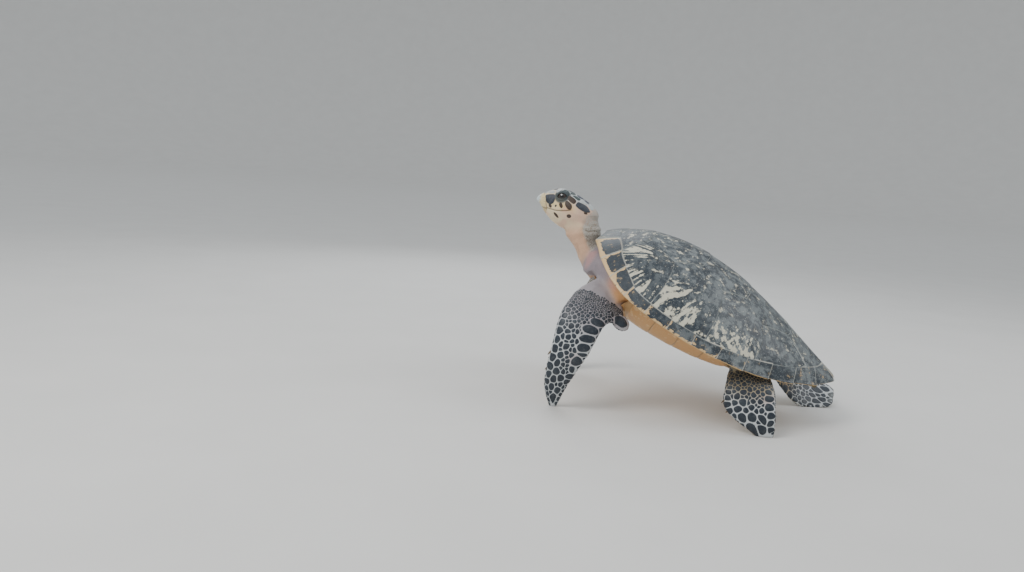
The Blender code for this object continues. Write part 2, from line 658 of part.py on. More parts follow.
# ---------------------------------------------------------------- claws
def claw_mesh(root, point, length, radius, grow=0.0):
    """A blunt hooked cone growing out of a leading edge."""
    root, point = Vector(root), Vector(point).normalized()
    side = point.cross(Vector((0, 0, 1))).normalized()
    droop = side.cross(point).normalized() * -1.0
    rings = []
    for u, fat in ((-0.35, 0.96), (0.10, 1.0), (0.50, 0.74), (0.82, 0.42), (1.0, 0.16)):
        if u < 0:
            u -= grow / length
        centre = root + point * length * u + droop * length * 0.22 * max(u, 0.0) ** 2
        rings.append([centre + (side * math.cos(a) + droop * math.sin(a)) * (radius * fat + grow)
                      for a in angles(6)])
    return loft(rings)


CLAWS = (
    ("front_left_1", front_left, (0.1685, -0.0440, 0.104), (0.25, -0.80, -0.60), 0.0085, 0.0023),
    ("front_left_2", front_left, (0.1650, -0.0490, 0.074), (0.25, -0.80, -0.60), 0.0060, 0.0018),
    ("front_right_1", front_right, (-0.1653, -0.0640, 0.112), (-0.25, -0.80, -0.60), 0.0085, 0.0023),
    ("front_right_2", front_right, (-0.1618, -0.0725, 0.080), (-0.25, -0.80, -0.60), 0.0060, 0.0018),
    ("rear_left_1", rear_left, (0.1465, 0.2590, 0.052), (0.20, -0.85, -0.50), 0.0070, 0.0020),
    ("rear_left_2", rear_left, (0.1510, 0.2665, 0.036), (0.20, -0.80, -0.60), 0.0055, 0.0017),
    ("rear_right_1", rear_right, (-0.1590, 0.4200, 0.0495), (-0.85, 0.20, 0.10), 0.0070, 0.0020),
    ("rear_right_2", rear_right, (-0.1660, 0.4430, 0.0420), (-0.85, 0.30, 0.05), 0.0055, 0.0017),
)
for word, limb, root, point, length, radius in CLAWS:
    add("claw_" + word, claw_mesh(root, point, length, radius), ROOT, "claw")
    cut(limb, add("claw_pocket_" + word, claw_mesh(root, point, length, radius, GAP), ROOT, cutter=True))


# ---------------------------------------------------------------- tail
TAIL = ((0.345, 0.112, 0.020, 0.016), (0.372, 0.094, 0.0165, 0.0135), (0.394, 0.080, 0.0125, 0.0105),
        (0.412, 0.069, 0.0085, 0.0075), (0.424, 0.0625, 0.0045, 0.0040))
stations = []
for y, z, wide, deep in TAIL:
    slant = math.radians(58)
    stations.append(((-0.006, y, z), (1, 0, 0), (0, math.sin(math.pi / 2 - slant), math.sin(slant)), wide, deep))
tail = add("tail", tube(stations, 12), ROOT, "skin")

cut(front_left, trunk_clear, belly_clear, floor_plane)
cut(front_right, trunk_clear, belly_clear, floor_plane)
cut(rear_left, trunk_clear, belly_clear, floor_plane)
cut(rear_right, trunk_clear, floor_plane)
cut(tail, trunk_clear)
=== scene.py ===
# %% [markdown]
# A hawksbill sea turtle, life size, propped up on its flippers with its head raised.
# The solids in model.glb give every size and place. This script gives the looks:
# one skin over the flesh, horn plates with real edges over the back, scales laid on the skin one by
# one, a beak, claws and eyes. Each cell below makes one of these and prints what it made.

# %% Load the frame
import math
import random

import bmesh
import bpy
from mathutils import Matrix, Vector, noise
from mathutils.bvhtree import BVHTree
from mathutils.kdtree import KDTree


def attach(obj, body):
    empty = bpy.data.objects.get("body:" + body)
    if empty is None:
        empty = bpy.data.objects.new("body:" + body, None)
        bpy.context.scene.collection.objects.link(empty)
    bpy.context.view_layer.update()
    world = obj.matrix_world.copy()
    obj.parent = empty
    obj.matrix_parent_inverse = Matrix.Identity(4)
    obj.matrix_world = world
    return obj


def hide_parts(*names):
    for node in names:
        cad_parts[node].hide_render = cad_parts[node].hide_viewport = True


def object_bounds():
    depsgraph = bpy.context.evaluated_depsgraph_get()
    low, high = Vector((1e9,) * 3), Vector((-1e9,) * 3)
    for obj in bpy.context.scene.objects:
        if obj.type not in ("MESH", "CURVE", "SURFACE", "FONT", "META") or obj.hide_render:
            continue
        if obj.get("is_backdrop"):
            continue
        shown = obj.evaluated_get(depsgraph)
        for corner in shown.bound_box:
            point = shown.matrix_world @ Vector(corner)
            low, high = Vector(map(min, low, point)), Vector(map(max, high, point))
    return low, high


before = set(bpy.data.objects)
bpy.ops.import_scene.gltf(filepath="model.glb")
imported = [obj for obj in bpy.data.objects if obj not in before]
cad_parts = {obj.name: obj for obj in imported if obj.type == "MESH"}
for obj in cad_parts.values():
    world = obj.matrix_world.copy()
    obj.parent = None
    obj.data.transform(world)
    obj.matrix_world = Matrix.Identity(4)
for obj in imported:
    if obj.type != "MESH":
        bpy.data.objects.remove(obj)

CAD_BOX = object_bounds()
print("frame loaded:", len(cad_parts), "nodes")

# %% [markdown]
# A turtle's shell and its head each point their own way, so both get a frame of their own. The shell
# is pitched nose up and leans to its left; the head is turned a little and lifted. A place on the
# shell or the head is written in its frame, in metres, and the matrix carries it to the floor's.

# %% Frames of the shell and the head
MIDDLE_SHIFT = Vector((0.0034, -0.1758, 0.0))
NUCHAL_PLACE = MIDDLE_SHIFT + Vector((0.0, 0.003, 0.302))
BEAK_TIP = MIDDLE_SHIFT + Vector((0.006, -0.125, 0.3635))


def turned(degrees, axis):
    return Matrix.Rotation(math.radians(degrees), 4, axis)


SHELL = Matrix.Translation(NUCHAL_PLACE) @ turned(-26.5, "X") @ turned(8.0, "Y")
HEAD = Matrix.Translation(BEAK_TIP) @ turned(6.0, "Z") @ turned(-12.0, "X")
FROM_SHELL, FROM_HEAD = SHELL.inverted(), HEAD.inverted()
print("shell and head have frames of their own")

# %% [markdown]
# The camera stands low beside the animal's left flank, a little behind its middle, and looks slightly
# down. It is built from three directions: where it looks, and that view's level line turned by a few
# degrees, as a diver holds a camera. The lens is a plain wide one, with no shift.

# %% Camera
CAMERA_PLACE = Vector((1.6154, 0.0342, 0.42))
HEADING, DIP, ROLL = math.radians(13.0), math.radians(8.0), math.radians(4.4)
SENSOR_WIDTH, FOCAL_LENGTH = 36.0, 29.8828125
ahead = Vector((-math.cos(HEADING), -math.sin(HEADING), -math.tan(DIP))).normalized()
level = ahead.cross(Vector((0, 0, 1))).normalized()
right = level * math.cos(ROLL) + level.cross(ahead) * math.sin(ROLL)
above = right.cross(ahead)
lens = bpy.data.cameras.new("camera")
lens.sensor_width, lens.lens = SENSOR_WIDTH, FOCAL_LENGTH
camera = bpy.data.objects.new("camera", lens)
camera.matrix_world = Matrix.Translation(CAMERA_PLACE) @ Matrix((right, above, -ahead)).transposed().to_4x4()
bpy.context.scene.collection.objects.link(camera)
bpy.context.scene.camera = camera
print("camera at", [round(value, 3) for value in CAMERA_PLACE])

# %% [markdown]
# Shader maths reads best as plain expressions, so a small class wraps one value of a node tree: adding
# or multiplying two of them adds a Math node. Any other node comes from one method, `add`, which takes
# the node's type, its settings and the values or links of its sockets.

# %% A small language for materials
class Value:
    """One output in a node tree; arithmetic on it adds Math nodes."""

    def __init__(self, paint, socket):
        self.paint, self.socket = paint, socket

    def math(self, operation, *values):
        return self.paint.add("ShaderNodeMath", {"operation": operation}, dict(enumerate(values)))

    def __add__(self, other):
        return self.math("ADD", self, other)

    def __rsub__(self, other):
        return self.math("SUBTRACT", other, self)

    def __mul__(self, other):
        return self.math("MULTIPLY", self, other)

    __radd__, __rmul__ = __add__, __mul__


class Paint:
    """A Principled material under construction."""

    def __init__(self, name):
        self.material = bpy.data.materials.new(name)
        self.material.use_nodes = True
        self.tree = self.material.node_tree
        self.shader = self.tree.nodes["Principled BSDF"]

    def feed(self, socket, value):
        if isinstance(value, Value):
            self.tree.links.new(value.socket, socket)
        elif socket.type == "RGBA":
            socket.default_value = (*value, 1.0)
        else:
            socket.default_value = value

    def add(self, kind, settings=None, values=None, out=0):
        node = self.tree.nodes.new(kind)
        for name, setting in (settings or {}).items():
            setattr(node, name, setting)
        for name, value in (values or {}).items():
            self.feed(node.inputs[name], value)
        return Value(self, node.outputs[out])

    def here(self):
        return self.add("ShaderNodeTexCoord", out="Object")

    def attribute(self, name, out="Fac"):
        return self.add("ShaderNodeAttribute", {"attribute_name": name}, out=out)

    def parts(self, vector):
        """The three numbers of a vector."""
        node = self.tree.nodes.new("ShaderNodeSeparateXYZ")
        self.feed(node.inputs["Vector"], vector)
        return [Value(self, node.outputs[name]) for name in "XYZ"]

    def noise(self, vector, scale, detail=3.0, roughness=0.55):
        values = {"Vector": vector, "Scale": scale, "Detail": detail, "Roughness": roughness}
        return self.add("ShaderNodeTexNoise", None, values)

    def cells(self, vector, scale):
        """Distance to the border of the nearest cell."""
        values = {"Vector": vector, "Scale": scale, "Randomness": 0.9}
        return self.add("ShaderNodeTexVoronoi", {"feature": "DISTANCE_TO_EDGE"}, values, out="Distance")

    def rise(self, value, low, high):
        """0 below low, 1 above high, smooth between."""
        settings = {"interpolation_type": "SMOOTHSTEP"}
        return self.add("ShaderNodeMapRange", settings, {"Value": value, "From Min": low, "From Max": high})

    def mix(self, factor, first, second, blend="MIX"):
        settings = {"data_type": "RGBA", "blend_type": blend}
        return self.add("ShaderNodeMix", settings, {0: factor, 6: first, 7: second}, out=2)

    def stretched(self, vector, scale):
        return self.add("ShaderNodeMapping", None, {"Vector": vector, "Scale": scale})

    def bump(self, height, distance, strength):
        values = {"Height": height, "Distance": distance, "Strength": strength}
        return self.add("ShaderNodeBump", None, values)

    def surface(self, **sockets):
        for name, value in sockets.items():
            self.feed(self.shader.inputs[name.replace("_", " ")], value)
        return self.material


def tone(red, green, blue):
    """A colour named by its 0 to 255 screen values, as the linear light that shaders use."""
    return tuple(((value / 255 + 0.055) / 1.055) ** 2.4 if value > 10 else value / 255 / 12.92
                 for value in (red, green, blue))


def put(name, data):
    """Puts a new object into the scene."""
    item = bpy.data.objects.new(name, data)
    bpy.context.scene.collection.objects.link(item)
    return item


def finish(name, bm, material, nodes):
    """Makes a finished piece of a bmesh, hangs it on the root and hides the nodes that it stands for."""
    mesh = bpy.data.meshes.new(name)
    bm.to_mesh(mesh)
    bm.free()
    mesh.polygons.foreach_set("use_smooth", [True] * len(mesh.polygons))
    piece = put(name, mesh)
    mesh.materials.append(material)
    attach(piece, "root")
    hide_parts(*nodes)
    triangles = sum(len(polygon.vertices) - 2 for polygon in mesh.polygons)
    print("%s: %d triangles" % (name, triangles))


print("materials and pieces can be made")

# %% [markdown]
# A museum would show the model on a plain pale floor in soft light. The floor is a wide disc whose edge
# is extruded up in a large curve, as in a photographer's studio, so no horizon line shows behind the
# animal. The world is a pale even glow, and three large lamps give a soft key from the animal's front
# left, a fill from its right and a light on the back of the shell.

# %% Floor and light
FLOOR_RADIUS, CURVE, CURVE_STEPS, WALL_STEPS, WALL_STEP = 12.0, 6.0, 12, 2, 3.0

floor_bm = bmesh.new()
bmesh.ops.create_circle(floor_bm, cap_ends=True, segments=96, radius=FLOOR_RADIUS)
border = floor_bm.edges[:]
for step in range(1, CURVE_STEPS + WALL_STEPS + 1):
    angle = min(step / CURVE_STEPS, 1.0) * math.pi / 2
    radius = FLOOR_RADIUS + CURVE * math.sin(angle)
    height = CURVE - CURVE * math.cos(angle) + WALL_STEP * max(0, step - CURVE_STEPS)
    raised = bmesh.ops.extrude_edge_only(floor_bm, edges=border)["geom"]
    border = [item for item in raised if isinstance(item, bmesh.types.BMEdge)]
    for vert in [item for item in raised if isinstance(item, bmesh.types.BMVert)]:
        flat = Vector((vert.co.x, vert.co.y, 0.0)).normalized() * radius
        vert.co = (flat.x, flat.y, height)
floor_mesh = bpy.data.meshes.new("floor")
floor_bm.to_mesh(floor_mesh)
floor_bm.free()
floor_mesh.polygons.foreach_set("use_smooth", [True] * len(floor_mesh.polygons))
put("floor", floor_mesh)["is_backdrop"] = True
plaster = Paint("floor_plaster")
mottle = plaster.noise(plaster.here(), 5.0, 5.0)
floor_mesh.materials.append(plaster.surface(
    Base_Color=plaster.mix(mottle, tone(214, 213, 210), tone(224, 223, 220)), Roughness=0.85))

world = bpy.data.worlds.new("pale_room")
world.use_nodes = True
world.node_tree.nodes["Background"].inputs["Color"].default_value = (*tone(226, 231, 236), 1.0)
world.node_tree.nodes["Background"].inputs["Strength"].default_value = 1.0
bpy.context.scene.world = world
LAMP_TARGET = Vector((0, 0, 0.2))


def lamp(name, place, size, watts, colour):
    """A round lamp aimed at the middle of the animal."""
    light = bpy.data.lights.new(name, "AREA")
    light.shape, light.size, light.energy, light.color = "DISK", size, watts, colour
    aim = (LAMP_TARGET - Vector(place)).to_track_quat("-Z", "Y").to_matrix().to_4x4()
    put(name, light).matrix_world = Matrix.Translation(place) @ aim


lamp("key", (1.3, -1.1, 1.9), 1.2, 30, (1.0, 0.985, 0.96))
lamp("fill", (-1.6, -0.9, 1.4), 1.6, 12, (0.95, 0.98, 1.0))
lamp("back", (-0.3, 1.9, 1.8), 1.4, 16, (1.0, 1.0, 1.0))
print("floor and lights placed")

# %% [markdown]
# Smooth outlines of a shell are given by a handful of measured stations, not by long lists of points.
# `profile` turns such stations into a curve that never overshoots them. These are the same stations
# that the solids were made from: the shell's half-width, its edge and keel, and the belly.

# %% Shape of the shell
def profile(knots):
    """A smooth curve through (place, value) knots that never overshoots them."""
    xs = [knot[0] for knot in knots]
    ys = [knot[1] for knot in knots]
    steps = [(ys[i + 1] - ys[i]) / (xs[i + 1] - xs[i]) for i in range(len(xs) - 1)]
    slopes = [steps[0]]
    for a, b in zip(steps, steps[1:]):
        slopes.append(0.0 if a * b <= 0 else 2 * a * b / (a + b))
    slopes.append(steps[-1])

    def value(x):
        x = min(max(x, xs[0]), xs[-1])
        i = max(k for k in range(len(xs) - 1) if xs[k] <= x)
        h = xs[i + 1] - xs[i]
        u = (x - xs[i]) / h
        return ((2 * u**3 - 3 * u**2 + 1) * ys[i] + (u**3 - 2 * u**2 + u) * h * slopes[i]
                + (3 * u**2 - 2 * u**3) * ys[i + 1] + (u**3 - u**2) * h * slopes[i + 1])
    return value


def lerp(a, b, u):
    return a + (b - a) * u


def clamp(value, low=0.0, high=1.0):
    return min(max(value, low), high)


def ease(value, low, high):
    """0 at low, 1 at high (either way round), smooth between."""
    u = clamp((value - low) / (high - low))
    return u * u * (3 - 2 * u)


def hump(distance, width):
    """1 at distance 0, falling off smoothly on both sides."""
    return math.exp(-(distance / width) ** 2)


SHELL_LENGTH = 0.500
half_width = profile(((0.0, 0.052), (0.008, 0.079), (0.03, 0.116), (0.064, 0.153), (0.105, 0.178),
                      (0.155, 0.190), (0.20, 0.192), (0.25, 0.187), (0.30, 0.175), (0.35, 0.154),
                      (0.40, 0.123), (0.445, 0.084), (0.478, 0.046), (0.492, 0.024), (0.50, 0.010)))
edge_height = profile(((0.0, 0.0), (0.03, -0.004), (0.06, -0.013), (0.10, -0.021), (0.175, -0.025),
                       (0.25, -0.027), (0.325, -0.026), (0.40, -0.019), (0.46, -0.008), (0.50, 0.0)))
keel_height = profile(((0.0, 0.004), (0.025, 0.023), (0.05, 0.038), (0.095, 0.057), (0.15, 0.068),
                       (0.19, 0.0705), (0.25, 0.0665), (0.295, 0.0585), (0.35, 0.045), (0.40, 0.031),
                       (0.45, 0.0155), (0.50, 0.003)))
rim_inner_x = profile(((0.0, 0.0485), (0.02, 0.0800), (0.04, 0.1070), (0.07, 0.1370), (0.11, 0.1665),
                       (0.15, 0.1780), (0.19, 0.1812), (0.25, 0.1758), (0.30, 0.1610), (0.35, 0.1375),
                       (0.40, 0.1045), (0.445, 0.0610), (0.475, 0.029), (0.50, 0.0008)))
rim_inner_y = profile(((0.0, 0.0355), (0.02, 0.0478), (0.04, 0.0590), (0.07, 0.0815), (0.11, 0.1145),
                       (0.15, 0.152), (0.19, 0.190), (0.25, 0.250), (0.30, 0.300), (0.35, 0.348),
                       (0.40, 0.395), (0.445, 0.436), (0.475, 0.457), (0.50, 0.4655)))
rim_deep = profile(((0.0, 0.0042), (0.05, 0.0046), (0.10, 0.0090), (0.14, 0.0105), (0.40, 0.0100),
                    (0.50, 0.0065)))
belly_half = profile(((0.030, 0.052), (0.060, 0.078), (0.095, 0.104), (0.120, 0.152), (0.160, 0.1650),
                      (0.250, 0.1610), (0.300, 0.146), (0.330, 0.102), (0.360, 0.078), (0.400, 0.040)))
belly_height = profile(((0.030, -0.066), (0.060, -0.079), (0.120, -0.086), (0.200, -0.083),
                        (0.300, -0.069), (0.350, -0.057), (0.400, -0.042)))


def dome(x, y):
    """Height of the carapace over a place in plan."""
    y = clamp(y, 0.0005, SHELL_LENGTH - 0.0005)
    side = min(abs(x) / half_width(y), 1.0)
    low = edge_height(y)
    ridge = 0.0022 * hump(x, 0.011) * min(1.0, y / 0.06)
    return low + (keel_height(y) - low) * (1.0 - side ** 2.3) + ridge


def belly(x, y):
    """Height of the plastron's face over a place in plan."""
    wide = belly_half(y)
    side = abs(x) / wide
    bridge = clamp((wide - 0.104) / 0.045)
    edge = lerp(belly_height(y) + 0.009, edge_height(y) - 0.006, bridge)
    return lerp(belly_height(y), edge, side ** (2.0 + 2.6 * bridge))


print("shell %.2f m long, %.3f m wide" % (SHELL_LENGTH, 2 * half_width(0.2)))

# %% [markdown]
# The flippers are drawn in coordinates of their own: `along` runs from root to tip, `across` from the
# leading edge to the trailing one. Later, scales are laid out in these coordinates, as they grow in
# lines along the limb. A station holds both edges, the thickness and the way the upper side faces.

# %% Stations of the flippers
FRONT_LEFT = (
    ((0.060, 0.040, 0.246), (0.056, 0.075, 0.212), 0.036, (0.3, 0.5, 0.8)),
    ((0.108, -0.010, 0.216), (0.106, 0.071, 0.183), 0.043, (0.75, 0.1, 0.6)),
    ((0.130, -0.0245, 0.197), (0.130, 0.071, 0.163), 0.036, (0.9, 0.0, 0.4)),
    ((0.148, -0.035, 0.176), (0.146, 0.050, 0.161), 0.029, (1.0, 0.0, 0.28)),
    ((0.160, -0.040, 0.152), (0.160, 0.040, 0.148), 0.024, (1.0, 0.0, 0.12)),
    ((0.167, -0.043, 0.127), (0.168, 0.032, 0.127), 0.020, (1.0, 0.05, 0.0)),
    ((0.169, -0.047, 0.100), (0.170, 0.022, 0.104), 0.0165, (1.0, 0.05, -0.08)),
    ((0.165, -0.052, 0.072), (0.166, 0.008, 0.079), 0.0140, (1.0, 0.05, -0.16)),
    ((0.156, -0.0545, 0.038), (0.157, -0.011, 0.044), 0.0115, (1.0, 0.05, -0.2)),
    ((0.147, -0.047, 0.008), (0.147, -0.026, 0.010), 0.0095, (1.0, 0.05, -0.2)),
    ((0.146, -0.041, -0.004), (0.146, -0.032, -0.003), 0.0060, (1.0, 0.05, -0.2)),
)
REAR_LEFT = (
    ((0.080, 0.262, 0.130), (0.080, 0.322, 0.105), 0.030, (0.4, 0.3, 0.9)),
    ((0.104, 0.262, 0.112), (0.102, 0.332, 0.093), 0.032, (0.7, 0.1, 0.6)),
    ((0.124, 0.259, 0.090), (0.122, 0.339, 0.081), 0.027, (0.9, 0.0, 0.4)),
    ((0.138, 0.2565, 0.068), (0.136, 0.343, 0.068), 0.021, (1.0, 0.0, 0.3)),
    ((0.147, 0.256, 0.049), (0.146, 0.3445, 0.053), 0.0165, (1.0, 0.0, 0.2)),
    ((0.152, 0.265, 0.034), (0.152, 0.346, 0.040), 0.0135, (1.0, 0.0, 0.1)),
    ((0.155, 0.282, 0.0205), (0.155, 0.3465, 0.027), 0.0110, (1.0, 0.0, 0.0)),
    ((0.155, 0.301, 0.0095), (0.156, 0.3465, 0.0135), 0.0090, (1.0, 0.0, 0.0)),
    ((0.154, 0.314, 0.001), (0.155, 0.346, 0.004), 0.0080, (1.0, 0.0, 0.0)),
    ((0.154, 0.320, -0.004), (0.154, 0.343, -0.003), 0.0060, (1.0, 0.0, 0.0)),
)
REAR_RIGHT = (
    ((-0.088, 0.318, 0.120), (-0.060, 0.318, 0.080), 0.028, (-0.2, 0.6, 0.8)),
    ((-0.108, 0.340, 0.103), (-0.068, 0.345, 0.067), 0.029, (-0.4, 0.3, 0.8)),
    ((-0.128, 0.362, 0.084), (-0.076, 0.364, 0.042), 0.024, (-0.4, 0.0, 0.9)),
    ((-0.146, 0.386, 0.066), (-0.082, 0.384, 0.019), 0.019, (-0.4, 0.0, 0.9)),
    ((-0.160, 0.410, 0.053), (-0.087, 0.402, 0.004), 0.0155, (-0.4, 0.0, 0.9)),
    ((-0.169, 0.432, 0.045), (-0.092, 0.421, -0.002), 0.0130, (-0.4, 0.0, 0.9)),
    ((-0.171, 0.452, 0.039), (-0.098, 0.441, -0.003), 0.0110, (-0.4, 0.0, 0.9)),
    ((-0.166, 0.468, 0.033), (-0.107, 0.460, 0.000), 0.0090, (-0.4, 0.0, 0.9)),
    ((-0.156, 0.477, 0.028), (-0.118, 0.472, 0.007), 0.0070, (-0.4, 0.0, 0.9)),
)


def mirrored(stations, tip_shift, root_shift):
    """The right flipper: mirrored, its root lifted by the lean and its tip moved along."""
    result = []
    last = len(stations) - 1
    flip = Vector((-1, 1, 1))
    for number, (lead, trail, thick, face) in enumerate(stations):
        shift = Vector(root_shift).lerp(Vector(tip_shift), (number / last) ** 0.9)
        result.append((Vector(lead) * flip + shift, Vector(trail) * flip + shift, thick, Vector(face) * flip))
    return result


FRONT_RIGHT = mirrored(FRONT_LEFT, (0.004, -0.034, 0.0), (0.002, 0.016, 0.022))


class Blade:
    """A flipper's own coordinates over its stations."""

    def __init__(self, stations):
        self.stations = [(Vector(lead) + MIDDLE_SHIFT, Vector(trail) + MIDDLE_SHIFT, thick, Vector(face))
                         for lead, trail, thick, face in stations]
        middles = [(lead + trail) / 2 for lead, trail, thick, face in self.stations]
        self.length = sum((b - a).length for a, b in zip(middles, middles[1:]))

    def section(self, along):
        place = clamp(along, 0.0, 0.9999) * (len(self.stations) - 1)
        number = int(place)
        last = len(self.stations) - 1
        a, b, c, d = [self.stations[min(max(number + k, 0), last)] for k in (-1, 0, 1, 2)]
        u = place - number
        return [0.5 * (2 * b[k] + (c[k] - a[k]) * u + (2 * a[k] - 5 * b[k] + 4 * c[k] - d[k]) * u * u
                       + (3 * b[k] - a[k] - 3 * c[k] + d[k]) * u**3) for k in range(4)]

    def spot(self, along, across, side):
        """A place a little off the blade's face, from which the skin is the nearest thing."""
        lead, trail, thick, face = self.section(along)
        chord = trail - lead
        out = (face - chord * (face.dot(chord) / chord.length_squared)).normalized()
        return lead + chord * across + out * side * thick * (0.9 if 0.0 < across < 1.0 else 0.0)

    def chord(self, along):
        lead, trail = self.section(along)[:2]
        return (trail - lead).length


BLADES = {"flipper_front_left": Blade(FRONT_LEFT), "flipper_front_right": Blade(FRONT_RIGHT),
          "flipper_rear_left": Blade(REAR_LEFT), "flipper_rear_right": Blade(REAR_RIGHT)}
print({name: round(blade.length, 3) for name, blade in BLADES.items()})

# %% [markdown]
# On the animal one skin runs over head, neck, body and limbs. The solids are separate, with thin gaps,
# so their meshes are copied, swollen by half a millimetre to close the gaps, remeshed together into one
# surface and drawn in again. The skin also runs on under the horn of the beak, as on the animal. Two
# soft shapes join it: the flesh of the chest over the plastron's front edge, and a rounded lobe at the
# rear corner of each front flipper. Smoothing is strong only where two parts meet, so that the neck
# flows into the shoulder and thin edges keep their shape.

# %% One skin over the flesh
FLESH = ("head", "neck", "trunk", "tail", *BLADES)
VOXEL, SWELL, COAT = 0.0017, 0.0005, 0.0002
CHEST_PLACE, CHEST_SIZE = (0.0, 0.0245, -0.049), (0.074, 0.025, 0.0165)
LOBE_SPOT, LOBE_SHIFT, LOBE_SIZE = (0.20, 0.94), 0.004, (0.0185, 0.0135, 0.0060)
LOBE_WAY = Vector((0.0, 0.75, -0.65))


def merged(*nodes):
    """A copy of some nodes' meshes with their loose triangles joined."""
    bm = bmesh.new()
    for node in nodes:
        bm.from_mesh(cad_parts[node].data)
    bmesh.ops.remove_doubles(bm, verts=bm.verts, dist=1e-6)
    bm.normal_update()
    return bm


def through(bm, kind, group=None, **settings):
    """The bmesh after one modifier; group is a test for the vertices that the modifier works on."""
    mesh = bpy.data.meshes.new("step")
    item = bpy.data.objects.new("step", mesh)
    modifier = item.modifiers.new("step", kind)
    if group:
        item.vertex_groups.new(name="chosen")
        layer = bm.verts.layers.deform.new()
        for vert in bm.verts:
            if group(vert):
                vert[layer][0] = 1.0
        modifier.vertex_group = "chosen"
    bm.to_mesh(mesh)
    bm.free()
    for name, setting in settings.items():
        setattr(modifier, name, setting)
    bpy.context.scene.collection.objects.link(item)
    done = bpy.data.meshes.new_from_object(item.evaluated_get(bpy.context.evaluated_depsgraph_get()))
    bpy.data.objects.remove(item)
    result = bmesh.new()
    result.from_mesh(done)
    if result.verts.layers.deform.active:
        result.verts.layers.deform.remove(result.verts.layers.deform.active)
    return result


def relax(verts, rounds):
    """Smooths some vertices of the skin."""
    for step in range(rounds):
        bmesh.ops.smooth_vert(skin, verts=verts, factor=0.5,
                              use_axis_x=True, use_axis_y=True, use_axis_z=True)


def armpit_lobe(blade):
    """A matrix that makes a ball the rounded lobe at a flipper's rear corner."""
    out = blade.section(LOBE_SPOT[0])[3].normalized()
    long = (LOBE_WAY - out * LOBE_WAY.dot(out)).normalized()
    place = 0.5 * (blade.spot(*LOBE_SPOT, 1) + blade.spot(*LOBE_SPOT, -1)) + long * LOBE_SHIFT
    axes = [axis * size for axis, size in zip((long, out.cross(long), out), LOBE_SIZE)]
    return Matrix.Translation(place) @ Matrix(axes).transposed().to_4x4()


swollen = merged(*FLESH, "beak_upper", "beak_lower")
CHEST = SHELL @ Matrix.Translation(CHEST_PLACE) @ Matrix.Diagonal((*CHEST_SIZE, 1.0))
LOBES = {node: armpit_lobe(blade) for node, blade in BLADES.items() if "front" in node}
for shape in (CHEST, *LOBES.values()):
    bmesh.ops.create_icosphere(swollen, subdivisions=4, radius=1.0, matrix=shape)
swollen.normal_update()
for vert in swollen.verts:
    vert.co += vert.normal * SWELL
skin = through(swollen, "REMESH", mode="VOXEL", voxel_size=VOXEL)
relax(skin.verts, 3)
skin.normal_update()
print("skin remeshed:", len(skin.verts), "vertices")

# %% [markdown]
# The skin must know which part of the body each of its points belongs to, for its colour and its
# scales. A search tree over each solid gives the distances, and the closer of two parts weighs more.

# %% Parts of the skin
FADE, FADE_END, ONE_PART = 0.0035, 0.014, 0.90
TREES = {}
for node in FLESH:
    solid = merged(node)
    TREES[node] = BVHTree.FromBMesh(solid)
    solid.free()


def belonging(place):
    """How much a place belongs to each part: weights that sum to one."""
    reach = {node: tree.find_nearest(place)[3] for node, tree in TREES.items()}
    nearest = min(reach.values())
    weights = {node: math.exp(-(far - nearest) / FADE) for node, far in reach.items()
               if far - nearest < FADE_END}
    total = sum(weights.values())
    return {node: weight / total for node, weight in weights.items()}


weights_of = [belonging(vert.co) for vert in skin.verts]
for vert, weights in zip(skin.verts, weights_of):
    vert.tag = max(weights.values()) < ONE_PART
joins = [vert for vert in skin.verts if vert.tag]
relax(joins, 60)
skin.normal_update()
for vert in skin.verts:
    vert.co -= vert.normal * (SWELL + COAT)
print("smoothed where parts meet:", len(joins), "vertices")

# %% [markdown]
# The head is small on this body, so its mesh is made four times finer before anything is shaped on it.
# Then the face is shaped by moving points: the mouth runs back from the beak as a sharp crease with a
# soft lip over it, the brow stands out above the eye, and the neck folds where the head is lifted.

# %% Mouth, brow and folds
MOUTH = -0.0112
mouth_height = profile(((0.0, MOUTH), (0.040, MOUTH), (0.052, -0.0088), (0.062, -0.0056), (0.073, -0.0010)))
EYE_RADIUS = 0.0112
EYE_PLACE = Vector((0.0182, 0.0486, 0.0165))
FINE_HEAD_END, FINE_HEAD_LOW = 0.105, -0.06
SHAPED_HEAD_END, SHAPED_HEAD_LOW = 0.12, -0.055
FOLD_GAP, FOLD_DEPTH = 0.0135, 0.0009
# how far back the middle of the neck lies at each height
neck_spine = profile(((0.214, 0.010), (0.251, -0.008), (0.289, -0.0245), (0.325, -0.036)))


def in_front(vert):
    return (FROM_HEAD @ vert.co).y < FINE_HEAD_END


front = [edge for edge in skin.edges
         if all(in_front(vert) and (FROM_HEAD @ vert.co).z > FINE_HEAD_LOW for vert in edge.verts)]
bmesh.ops.subdivide_edges(skin, edges=front, cuts=1, use_grid_fill=True)
relax([vert for vert in skin.verts if in_front(vert)], 2)
skin.normal_update()


def off_left(place, spot):
    """Distance from a spot of the head's left half, or from the same spot of its right half."""
    return (Vector((abs(place.x), place.y, place.z)) - Vector(spot)).length


def face_relief(place):
    """How far the skin stands out at a place of the head's frame."""
    up = place.z - mouth_height(place.y)
    back = ease(place.y, 0.075, 0.067) * ease(place.y, 0.026, 0.032)
    lips = 0.0005 * hump(up - 0.0034, 0.0020) + 0.0003 * hump(up + 0.003, 0.002)
    crease = -0.0016 * hump(up, 0.0011) + lips
    brow = 0.0013 * hump(off_left(place, (0.021, 0.050, 0.0275)), 0.0065)
    jowl = 0.0010 * hump(off_left(place, (0.033, 0.078, -0.006)), 0.014)
    crown = 0.0006 * noise.noise(place * 90) * ease(place.z, 0.010, 0.018)
    return crease * back + brow + jowl + crown


